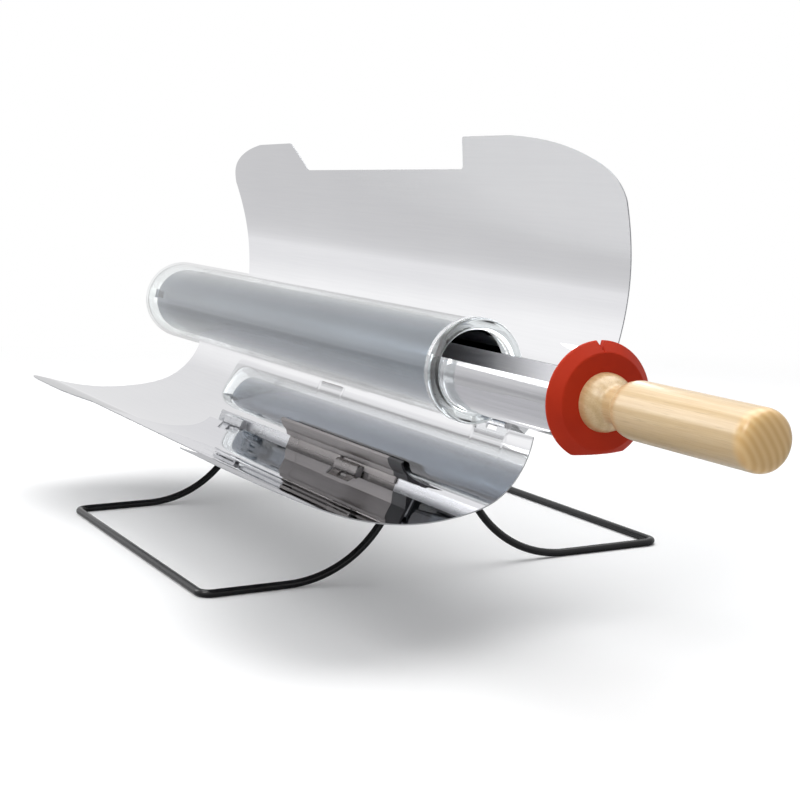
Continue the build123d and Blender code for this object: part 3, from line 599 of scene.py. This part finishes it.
# %% Curves through points
def smooth_curve(points, steps=400):
    """Cubic spline through points, spaced by chord length; its first and last two spans share one cubic."""
    points = np.asarray(points, dtype=float)
    knots = np.concatenate([[0], np.cumsum(np.linalg.norm(np.diff(points, axis=0), axis=1))])
    gaps = np.diff(knots)
    count = len(points)
    system = np.zeros((count, count))
    right = np.zeros_like(points)
    system[0, :3] = (gaps[1], -gaps[0] - gaps[1], gaps[0])
    system[-1, -3:] = (gaps[-1], -gaps[-2] - gaps[-1], gaps[-2])
    for i in range(1, count - 1):
        system[i, i - 1 : i + 2] = (gaps[i - 1], 2 * (gaps[i - 1] + gaps[i]), gaps[i])
        slopes = (points[i + 1] - points[i]) / gaps[i] - (points[i] - points[i - 1]) / gaps[i - 1]
        right[i] = 6 * slopes
    bend = np.linalg.solve(system, right)
    where = np.linspace(0, knots[-1], steps)
    span = np.clip(np.searchsorted(knots, where) - 1, 0, count - 2)
    after = ((where - knots[span]) / gaps[span])[:, None]
    before = 1 - after
    size = (gaps[span] ** 2)[:, None] / 6
    lift = (before**3 - before) * bend[span] + (after**3 - after) * bend[span + 1]
    return before * points[span] + after * points[span + 1] + size * lift


def rounded_corner(before, corner, after, radius, steps=8):
    """Short arc-like curve that replaces a corner, tangent to both of its edges."""
    before, corner, after = (np.asarray(p, dtype=float) for p in (before, corner, after))
    towards = [(p - corner) / np.linalg.norm(p - corner) for p in (before, after)]
    half = np.arccos(np.clip(towards[0] @ towards[1], -1, 1)) / 2
    reach = radius / np.tan(half)
    share = np.linspace(0, 1, steps)[:, None]
    start, end = corner + towards[0] * reach, corner + towards[1] * reach
    return (1 - share) ** 2 * start + 2 * share * (1 - share) * corner + share**2 * end


# %% Outline and grid of the flat sheet
OUTLINE_STEP = 0.5
SHEET_COLUMNS = 340
SHEET_ROWS = 72


def outer_edge():
    """Outer edge of the flat sheet from its far corner, round the notch, to its near corner."""
    corners = [FAR_CORNER[0], *reversed(NOTCH_FAR), *reversed(NOTCH_NEAR), NEAR_CORNER[-1]]
    path = [smooth_curve(FAR_CORNER)[::-1]]
    for before, corner, after in zip(corners, corners[1:], corners[2:]):
        path.append(rounded_corner(before, corner, after, NOTCH_ROUND))
    path.append(smooth_curve(NEAR_CORNER)[::-1])
    return np.concatenate(path)


def far_edge(shares):
    """Far side edge: the circle through its foot, its middle and its tip, cut at equal shares."""
    (x1, y1), (x2, y2), (x3, y3) = (FAR_FOOT_X, 0.0), FAR_MIDDLE, FAR_CORNER[-1]
    rows = np.array([[x2 - x1, y2 - y1], [x3 - x1, y3 - y1]])
    right = np.array([x2**2 - x1**2 + y2**2 - y1**2, x3**2 - x1**2 + y3**2 - y1**2]) / 2
    centre = np.linalg.solve(rows, right)
    radius = np.hypot(x1 - centre[0], y1 - centre[1])
    start = np.arctan2(y1 - centre[1], x1 - centre[0])
    end = np.arctan2(y3 - centre[1], x3 - centre[0])
    turn = start + (end - start) * shares
    return np.stack([centre[0] + radius * np.cos(turn), centre[1] + radius * np.sin(turn)], axis=1)


def flat_sheet():
    """Grid of (x, chord): straight columns from the hinge edge to the outer edge, eased to the far edge."""
    top = along_line(outer_edge(), OUTLINE_STEP)
    top = top[np.linspace(0, len(top) - 1, SHEET_COLUMNS).round().astype(int)]
    share = (top[:, 0] - top[0, 0]) / (top[-1, 0] - top[0, 0])
    rows = np.linspace(0, 1, SHEET_ROWS)
    foot_x = FAR_FOOT_X + share * (NEAR_FOOT_X - FAR_FOOT_X)
    from_hinge = np.min(np.abs(foot_x[:, None] - np.array(HINGE_PLACES)), axis=1)
    foot = np.stack([foot_x, np.where(from_hinge < HINGE_HALF, HINGE_ROOM, FOOT_CHORD)], axis=1)
    grid = foot[None] + rows[:, None, None] * (top - foot)[None]
    straight = np.stack([np.interp(rows, [0, 1], [FAR_FOOT_X, top[0, 0]]), rows * top[0, 1]], axis=1)
    ease = ((1 - share) ** 3)[None, :, None]
    return grid + (far_edge(rows) - straight)[:, None, :] * ease


# %% Lay the flat sheet on its curve
CURVE_STEPS = 2000


def mirror_faces(hinge, side):
    """Both faces of a mirror: side is 1 for the back one and -1 for the front one.

    Chord distance gives a place on the curve, and the curve is tipped by the aim tilt about the hinge.
    """
    curve = smooth_curve(MIRROR_CURVE, CURVE_STEPS)
    chord = np.arctan2(MIRROR_CURVE[-1][1], MIRROR_CURVE[-1][0])
    along_chord = np.array([np.cos(chord), np.sin(chord)])
    slope = np.gradient(curve, axis=0)
    slope /= np.linalg.norm(slope, axis=1)[:, None]
    flat = flat_sheet()
    tip = radians(AIM_TILT)
    faces = []
    for depth in (0.0, SHEET):
        lowered = curve + np.stack([slope[:, 1], -slope[:, 0]], axis=1) * depth
        reach = lowered @ along_chord
        across = np.interp(flat[..., 1], reach, lowered[:, 0]) * side
        up = np.interp(flat[..., 1], reach, lowered[:, 1])
        y = across * cos(tip) - up * sin(tip)
        z = across * sin(tip) + up * cos(tip)
        faces.append(np.stack([flat[..., 0] * MM, hinge[1] + y * MM, hinge[2] + z * MM], axis=2))
    return faces


def add_mirror(which, side):
    """Mirror sheet with a bright inner face and a satin outer one."""
    face, back = mirror_faces(hinge_places[f"{which}_reflector_fold"], side)
    points, faces, layers = sheet_shell(face, back)
    finishes = [MIRROR_FACE, MIRROR_BACK]
    replaced = [f"reflector_{which}"]
    return make_piece(
        f"mirror_{which}", points, faces, finishes, f"wing_{which}", replaced, layers
    )


add_mirror("back", 1)
add_mirror("front", -1)

# %% [markdown]
# ## The glass tube
# The outer tube, the ring that joins the two walls at the mouth, and the coated inner tube are all turned
# about one line. Blender's own cylinders would need their domes welded on; a turned profile is one smooth
# skin from mouth to dome.

# %% Numbers of the tube
TUBE_WALL = 2.0
VACUUM_GAP = 4.5
INNER_WALL = 1.8
RING_LENGTH = 6.0
RING_ROUND = 2.5
TIP_SPACE = 12.0
CLEAR_NECK = 10.0
SKIN_STEP = 12.0
DOME_POINTS = 40
RING_POINTS = 10
tube_low, tube_high = (np.array(corner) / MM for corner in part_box("outer_glass"))
TUBE_RADIUS = (tube_high[2] - tube_low[2]) / 2
TUBE_CENTRE = ((tube_low[1] + tube_high[1]) / 2, (tube_low[2] + tube_high[2]) / 2)
MOUTH_X = tube_high[0]
DOME_X = tube_low[0] + TUBE_RADIUS
HOLLOW_RADIUS = TUBE_RADIUS - TUBE_WALL
COATED_RADIUS = HOLLOW_RADIUS - VACUUM_GAP
BORE_RADIUS = COATED_RADIUS - INNER_WALL
print("tube centre", np.round(TUBE_CENTRE, 2), "radius", round(TUBE_RADIUS, 2), "mouth", round(MOUTH_X, 2))


# %% Turned pieces
def add_turned(name, profile, centre, materials, body, replaced, steps=160, layers=None):
    """Turned piece from a profile in millimetres; layers gives a material number for each profile span."""
    profile = np.asarray(profile, dtype=float)
    grid = turned_grid(profile, centre, steps) * MM
    faces = grid_faces(len(profile), steps + 1)
    spans = None if layers is None else np.repeat(layers, steps)
    return make_piece(name, grid, faces, materials, body, replaced, spans)


# %% Outer wall
def add_outer_glass():
    """Clear outer wall, open at the ring: outer skin, dome and inner skin."""
    ring_x = MOUTH_X - RING_LENGTH
    profile = np.concatenate(
        [
            [(ring_x, HOLLOW_RADIUS), (ring_x, TUBE_RADIUS)],
            along_line([(ring_x, TUBE_RADIUS), (DOME_X, TUBE_RADIUS)], SKIN_STEP)[1:],
            arc((DOME_X, 0), TUBE_RADIUS, 90, 180, DOME_POINTS)[1:],
            arc((DOME_X, 0), HOLLOW_RADIUS, 180, 90, DOME_POINTS),
            along_line([(DOME_X, HOLLOW_RADIUS), (ring_x, HOLLOW_RADIUS)], SKIN_STEP)[1:],
        ]
    )
    return add_turned(
        "glass_wall", profile, TUBE_CENTRE, [CLEAR_GLASS], "frame", ["outer_glass"]
    )


add_outer_glass()


# %% Ring at the mouth
def add_glass_ring():
    """Thick clear ring that closes the vacuum at the mouth, with fire-polished edges."""
    ring_x = MOUTH_X - RING_LENGTH
    round_x = MOUTH_X - RING_ROUND
    profile = np.concatenate(
        [
            [(ring_x, BORE_RADIUS)],
            arc((round_x, BORE_RADIUS + RING_ROUND), RING_ROUND, -90, 0, RING_POINTS),
            arc((round_x, TUBE_RADIUS - RING_ROUND), RING_ROUND, 0, 90, RING_POINTS),
            [(ring_x, TUBE_RADIUS), (ring_x, BORE_RADIUS)],
        ]
    )
    return add_turned(
        "glass_ring", profile, TUBE_CENTRE, [RING_GLASS], "frame", ["outer_glass"]
    )


add_glass_ring()


# %% Coated inner tube
def add_inner_glass():
    """Inner tube: coated outside and in, with a short clear neck at the mouth."""
    start_x = MOUTH_X - RING_LENGTH
    neck_x = start_x - CLEAR_NECK
    dome_x = DOME_X + TIP_SPACE
    outside = np.concatenate(
        [
            [(start_x, BORE_RADIUS), (start_x, COATED_RADIUS), (neck_x, COATED_RADIUS)],
            along_line([(neck_x, COATED_RADIUS), (dome_x, COATED_RADIUS)], SKIN_STEP)[1:],
            arc((dome_x, 0), COATED_RADIUS, 90, 180, DOME_POINTS)[1:],
        ]
    )
    inside = np.concatenate(
        [
            arc((dome_x, 0), BORE_RADIUS, 180, 90, DOME_POINTS),
            along_line([(dome_x, BORE_RADIUS), (neck_x, BORE_RADIUS)], SKIN_STEP)[1:],
            [(start_x, BORE_RADIUS)],
        ]
    )
    profile = np.concatenate([outside, inside])
    layers = np.zeros(len(profile) - 1)
    layers[[0, 1, -1]] = 1
    return add_turned(
        "absorber_tube",
        profile,
        TUBE_CENTRE,
        [COATING, CLEAR_GLASS],
        "frame",
        ["inner_glass"],
        layers=layers,
    )


add_inner_glass()

# %% [markdown]
# ## Tray
# The tray is a U of thin steel that slides in the tube. It could be a bent plane with a Solidify modifier,
# but an arc for each face, swept straight along X, keeps both faces and the rim in one closed grid. The
# inside is dull from use and the outside still bright. The inside is also painted much lighter than the
# outside, as painted light for the light that falls into the tray.

# %% The tray
TRAY_SHEET = 0.8
TRAY_STEP = 10.0
TRAY_POINTS = 96
tray_low, tray_high = (np.array(corner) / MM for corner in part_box("tray"))
TRAY_RADIUS = (tray_high[1] - tray_low[1]) / 2
TRAY_CENTRE_Z = tray_low[2] + TRAY_RADIUS
print("tray radius", round(TRAY_RADIUS, 2))


def add_tray():
    """U of sheet steel: an arc from one rim under to the other, swept straight along X."""
    rise = np.degrees(np.arcsin((tray_high[2] - TRAY_CENTRE_Z) / TRAY_RADIUS))
    stations = along_line([(tray_low[0], 0.0), (tray_high[0], 0.0)], TRAY_STEP)[:, 0]
    faces = []
    for radius in (TRAY_RADIUS - TRAY_SHEET, TRAY_RADIUS):
        section = arc((TUBE_CENTRE[0], TRAY_CENTRE_Z), radius, 180 - rise, 360 + rise, TRAY_POINTS)
        grid = np.zeros((len(section), len(stations), 3))
        grid[..., 0] = stations[None]
        grid[..., 1] = section[:, 0][:, None]
        grid[..., 2] = section[:, 1][:, None]
        faces.append(grid * MM)
    points, quads, layers = sheet_shell(*faces)
    # Inside finish: dull from use, and painted lighter as painted light.
    finishes = [TRAY_INSIDE_LIGHTENED, TRAY_STEEL]
    return make_piece("food_tray", points, quads, finishes, "tray_set", ["tray"], layers)


add_tray()

# %% [markdown]
# ## Stopper
# The stopper is a bevelled silicone disc with a vent cut in its top and a flat under it, so that it does not
# roll. Cutting a turned disc with booleans would leave ragged edges, so its outline is written as a radius
# for each angle, cut back where the vent and the flat pass.

# %% Section of the stopper
STOPPER_BEVEL = 6.6
STOPPER_LIP = 1.5
STOPPER_EDGE = 0.7
stopper_low, stopper_high = (np.array(corner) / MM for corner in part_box("stopper"))
STOPPER_RADIUS = stopper_high[1] - TUBE_CENTRE[0]
STOPPER_FLAT = TUBE_CENTRE[1] - stopper_low[2]
print("stopper radius", round(STOPPER_RADIUS, 2), "flat at", round(STOPPER_FLAT, 2))


def stopper_profile():
    """Half section of the stopper from its axis at the back to its axis in front, with small round edges."""
    back_x, front_x = stopper_low[0], stopper_high[0]
    face_radius = STOPPER_RADIUS - STOPPER_BEVEL
    corners = [
        (back_x, 0.0),
        (back_x, STOPPER_RADIUS),
        (back_x + STOPPER_LIP, STOPPER_RADIUS),
        (front_x, face_radius),
        (front_x, 0.0),
    ]
    path = [np.array([corners[0]])]
    for before, corner, after in zip(corners, corners[1:], corners[2:]):
        path.append(rounded_corner(before, corner, after, STOPPER_EDGE, 6))
    path.append(np.array([corners[-1]]))
    return np.concatenate(path)


# %% The stopper with its vent and flat
VENT_WIDTH = 4.0
VENT_DEPTH = 7.0
VENT_ZONE = 1.4
VENT_POINTS = 57
ROUND_POINTS = 240
SECTION_STEP = 0.6
UNDERSIDE = 0.1
SMALLEST_GAP = 1e-6
UNCUT = 1e3


def add_stopper():
    """Stopper: each ring of the section is cut back by the flat underneath and by the vent on top.

    A straight cut at a distance d is a radius of d over the cosine of the angle from it. The vent's two
    sides are such cuts, and hold only inside the vent's own zone of angles.
    """
    profile = along_line(stopper_profile(), SECTION_STEP)
    zone = VENT_ZONE * np.arctan2(VENT_WIDTH / 2, STOPPER_RADIUS)
    near_vent = np.linspace(-zone, zone, VENT_POINTS)
    rest = np.linspace(zone, 2 * pi - zone, ROUND_POINTS)
    turn = np.concatenate([near_vent, rest[1:]])
    side, up = np.sin(turn), np.cos(turn)
    flat = np.where(up < -UNDERSIDE, STOPPER_FLAT / np.maximum(-up, UNDERSIDE), UNCUT)
    apex = STOPPER_RADIUS - VENT_DEPTH
    slant = VENT_WIDTH / 2 / VENT_DEPTH
    gap = np.maximum(slant * up - np.abs(side), SMALLEST_GAP)
    vent = np.where(np.abs(turn) < zone, np.minimum(apex * slant / gap, UNCUT), UNCUT)
    radius = np.minimum(profile[:, 1][:, None], np.minimum(flat, vent)[None])
    grid = np.stack(
        [
            np.repeat(profile[:, 0][:, None], len(turn), axis=1),
            TUBE_CENTRE[0] + radius * side,
            TUBE_CENTRE[1] + radius * up,
        ],
        axis=2,
    )
    return make_piece(
        "silicone_stopper",
        grid * MM,
        grid_faces(len(profile), len(turn)),
        [SILICONE],
        "tray_set",
        ["stopper"],
        sharp=40.0,
    )


add_stopper()

# %% [markdown]
# ## Handle
# The handle is turned wood: a round bead against the stopper, a hollow waist for the fingers, a straight grip
# and a domed end. A turner reads such a shape from a half section, and so does this cell. The hollow and the
# dome are smooth curves pulled by four points each, which meet their neighbours without a ridge.

# %% Section of the handle
BEAD_RADIUS = 17.2
BEAD_TURN = 48.0
WAIST_RADIUS = 11.0
WAIST_START = 20.0
GRIP_RADIUS = 16.8
GRIP_START = 37.6
GRIP_STEP = 6.0
SHOULDER_LENGTH = 13.0
HANDLE_END_ROUND = 9.5
HANDLE_END_PULLS = (0.85, 0.75)
CURVE_POINTS = 40
TURN_POINTS = 24
handle_low, handle_high = (np.array(corner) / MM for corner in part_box("handle"))
print("handle from", round(handle_low[0], 2), "to", round(handle_high[0], 2))


def curved(pulls):
    """Points of the cubic curve that four pulling points give, first and last on the curve itself."""
    share = np.linspace(0, 1, CURVE_POINTS)[:, None]
    weights = [(1 - share) ** 3, 3 * share * (1 - share) ** 2, 3 * share**2 * (1 - share), share**3]
    return sum(weight * np.array(pull) for weight, pull in zip(weights, pulls))


def handle_profile():
    """Half section of the handle: bead, hollow waist, quarter-round shoulder, grip and domed end."""
    length = handle_high[0] - handle_low[0]
    bead = arc((0, 0), BEAD_RADIUS, 90, BEAD_TURN, TURN_POINTS)
    out_x, out_radius = bead[-1]
    meet = (out_x + (out_radius - WAIST_RADIUS) * np.tan(np.radians(BEAD_TURN)), WAIST_RADIUS)
    hollow = curved([(out_x, out_radius), meet, meet, (WAIST_START, WAIST_RADIUS)])
    quarter = np.linspace(0, pi / 2, TURN_POINTS)
    shoulder_x = GRIP_START - SHOULDER_LENGTH
    shoulder = np.stack(
        [
            shoulder_x + SHOULDER_LENGTH * (1 - np.cos(quarter)),
            WAIST_RADIUS + (GRIP_RADIUS - WAIST_RADIUS) * np.sin(quarter),
        ],
        axis=1,
    )
    round_x = length - HANDLE_END_ROUND
    pulls = [
        (round_x, GRIP_RADIUS),
        (round_x + HANDLE_END_ROUND * HANDLE_END_PULLS[0], GRIP_RADIUS),
        (length, GRIP_RADIUS * HANDLE_END_PULLS[1]),
        (length, 0.0),
    ]
    grip = along_line([(GRIP_START, GRIP_RADIUS), (round_x, GRIP_RADIUS)], GRIP_STEP)[1:-1]
    return np.concatenate([[(0.0, 0.0)], bead, hollow[1:], shoulder, grip, curved(pulls)])


# %% The handle
def add_handle():
    """Turned handle on the stopper's face."""
    profile = handle_profile() + np.array([handle_low[0], 0.0])
    wood = beech("turned_beech", TUBE_CENTRE[0] * MM, TUBE_CENTRE[1] * MM)
    return add_turned(
        "wooden_handle", profile, TUBE_CENTRE, [wood], "tray_set", ["handle"], steps=128
    )


add_handle()

# %% [markdown]
# ## Finishes for the pieces that keep their solids
# Small hardware is the right shape already. A CAD solid keeps its mesh and only swaps what is in its
# material slot.

# %% Dress the solids
FINISHES = {
    "spine_aluminium": SPINE_ALUMINIUM,
    "cradle_aluminium": CRADLE_ALUMINIUM,
    "hinge_aluminium": HINGE_ALUMINIUM,
    "fastener_steel": FASTENER_STEEL,
    "saddle_plastic": SADDLE_PLASTIC,
    "pad_rubber": PAD_RUBBER,
    "washer_plastic": WASHER_NYLON,
    "bracket_paint": BRACKET_PAINT,
    "leg_paint": LEG_PAINT,
    "tray_steel": TRAY_STEEL,
    "stopper_silicone": SILICONE,
    "insert_brass": INSERT_BRASS,
    "getter_metal": GETTER_METAL,
    "clip_steel": CLIP_STEEL,
    "clear_glass": CLEAR_GLASS,
    "absorber_glass": COATING,
    "mirror_sheet": MIRROR_FACE,
    "handle_wood": bpy.data.materials["turned_beech"],
}
for subpart in frame["record"]["subparts"]:
    for material_slot in nodes[subpart["node"]].material_slots:
        material_slot.material = FINISHES[subpart["material_slot"]]

# %% [markdown]
# ## Studio
# Bright metal shows the room, not itself: in an all-white room a mirror would vanish, and in a dark one it
# would look like slate. A picture of a room would have to be read from a file, so the room is worked out.
# Every ray but the camera's meets a plain pale grey floor that brightens with distance, as haze does, and a
# white sky that is a little dimmer low down and on one side. The camera sees the floor lifted to white, with
# the object's shadow kept in it.

# %% Floor finish
FLOOR_SIZE = 14.0
FLOOR_FADE = (0.7, 1.4)
FLOOR_SHOWN = 0.93
FLOOR_MIRRORED = 0.55
FLOOR_CLOUDS = 0.01
FLOOR_FAR = 0.635
FLOOR_LIFT = 0.08
HAZE_DISTANCE = (0.9, 7.0)
HORIZON = 0.86
BLACK = (0, 0, 0, 1)
WHITE = (1, 1, 1, 1)
COOL_WHITE = (0.99, 0.99, 1.0, 1)


def cloudy_grey(wire, clouds, value):
    """Matt grey that is a trace darker between the clouds."""
    dark, pale = ((tone, tone, tone, 1) for tone in (value - FLOOR_CLOUDS, value))
    return wire.node("BsdfDiffuse", Color=clouds.blend(dark, pale))


def floor_finish():
    """Matt near the cooker; farther out plain light, white for the camera and hazy grey for mirrors."""
    wire, finish = new_material("studio_floor")

    def glow(colour, strength):
        return wire.node("Emission", Color=colour, Strength=strength)

    clouds = noise(wire, EVEN, 3.0).between(0.3, 0.7)
    mirrored = wire.ray("Glossy")
    direct = wire.math("MAXIMUM", wire.ray("Camera"), wire.ray("Transmission"))
    matt = direct.choose(*(cloudy_grey(wire, clouds, tone) for tone in (FLOOR_MIRRORED, FLOOR_SHOWN)))
    lift = direct.choose(glow(BLACK, 0.0), glow(WHITE, FLOOR_LIFT))
    near = wire.node("AddShader", i0=matt, i1=lift)
    distance = wire.node("VectorMath", {"operation": "LENGTH"}, out="Value", i0=place(wire))
    haze = distance.between(*HAZE_DISTANCE).choose(glow(COOL_WHITE, FLOOR_FAR), glow(COOL_WHITE, HORIZON))
    far = mirrored.choose(glow(WHITE, 1.0), haze)
    faded = distance.between(*FLOOR_FADE) * wire.math("MAXIMUM", direct, mirrored)
    return finish(faded.choose(near, far))


# %% Floor
def add_floor():
    """Square floor on the ground, which belongs to the stage and not to the cooker."""
    half = FLOOR_SIZE / 2
    corners = [(-half, -half, 0), (half, -half, 0), (half, half, 0), (-half, half, 0)]
    mesh = bpy.data.meshes.new("studio_floor")
    mesh.from_pydata(corners, [], [(0, 1, 2, 3)])
    mesh.materials.append(floor_finish())
    floor = bpy.data.objects.new("studio_floor", mesh)
    bpy.context.collection.objects.link(floor)
    floor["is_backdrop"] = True
    print("floor", FLOOR_SIZE, "m wide")


add_floor()

# %% Sky
FILL = 0.26
FILL_COLOUR = (0.95, 0.97, 1.0, 1)
SKY_CLEARS_AT = 0.10
SHADED_SIDE = 0.80
SHADED_TURN = (-0.42, -0.14)
SHADED_RISE = (0.35, 0.75)


def light_world():
    """White to the camera and to glass, dimmer low down and on one side for metal, a soft fill for the rest.

    The dimmer parts follow the direction of the ray: its height, and how far it turns towards +Y.
    """
    world = bpy.data.worlds.new("studio")
    bpy.context.scene.world = world
    world.use_nodes = True
    tree = world.node_tree
    tree.nodes.clear()
    wire = Wire(tree)

    def sky(colour, strength):
        return wire.node("Background", Color=colour, Strength=strength)

    heading = wire.node("TexCoord", out="Generated")
    height = heading.part("Z")
    low_or_clear = height.between(0.0, SKY_CLEARS_AT).choose(sky(COOL_WHITE, HORIZON), sky(WHITE, 1.0))
    shaded = heading.part("Y").between(*SHADED_TURN) * (1.0 - height.between(*SHADED_RISE))
    for_metal = shaded.choose(low_or_clear, sky(COOL_WHITE, SHADED_SIDE))
    indirect = wire.ray("Glossy").choose(sky(FILL_COLOUR, FILL), for_metal)
    direct = wire.math("MAXIMUM", wire.ray("Camera"), wire.ray("Transmission"))
    end = tree.nodes.new("ShaderNodeOutputWorld")
    tree.links.new(direct.choose(indirect, sky(WHITE, 1.0)).socket, end.inputs["Surface"])
    print("sky nodes:", len(tree.nodes))


light_world()

# %% [markdown]
# ## Lamps
# Small lamps would print hard white spots on the glass and the mirrors. Wide square ones give soft shadows
# and long even highlights: one in front, a large one overhead, and one from the far end that draws the
# highlight along the handle.

# %% Lamps: place, width in metres, watts
LAMP_AIM = (0.05, -0.03, 0.15)
LAMPS = {
    "key": ((1.0, -1.8, 1.9), 1.2, 22.0),
    "top": ((-0.1, 0.1, 1.9), 2.2, 39.0),
    "far": ((-1.0, -1.1, 0.95), 0.8, 6.5),
}


def add_lamp(name, spot, width, watts):
    """Square soft lamp that faces the middle of the cooker."""
    data = bpy.data.lights.new(name, "AREA")
    data.shape, data.size, data.energy = "SQUARE", width, watts
    lamp = bpy.data.objects.new(name, data)
    bpy.context.collection.objects.link(lamp)
    turn = (Vector(LAMP_AIM) - Vector(spot)).to_track_quat("-Z", "Y").to_matrix().to_4x4()
    lamp.matrix_world = Matrix.Translation(spot) @ turn


for lamp_name, (lamp_place, lamp_width, lamp_watts) in LAMPS.items():
    add_lamp(lamp_name, lamp_place, lamp_width, lamp_watts)
print("lamps:", ", ".join(LAMPS))

# %% [markdown]
# ## Sizes
# Both boxes, of the solids and of the looks, are set side by side before the last line.

# %% Sizes and finish
shown_box = [list(corner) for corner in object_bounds()]
{"cad": [list(map(float, c)) for c in cad_box], "visual": [list(map(float, c)) for c in shown_box]}
print("visual box:", np.round(shown_box, 4).tolist())
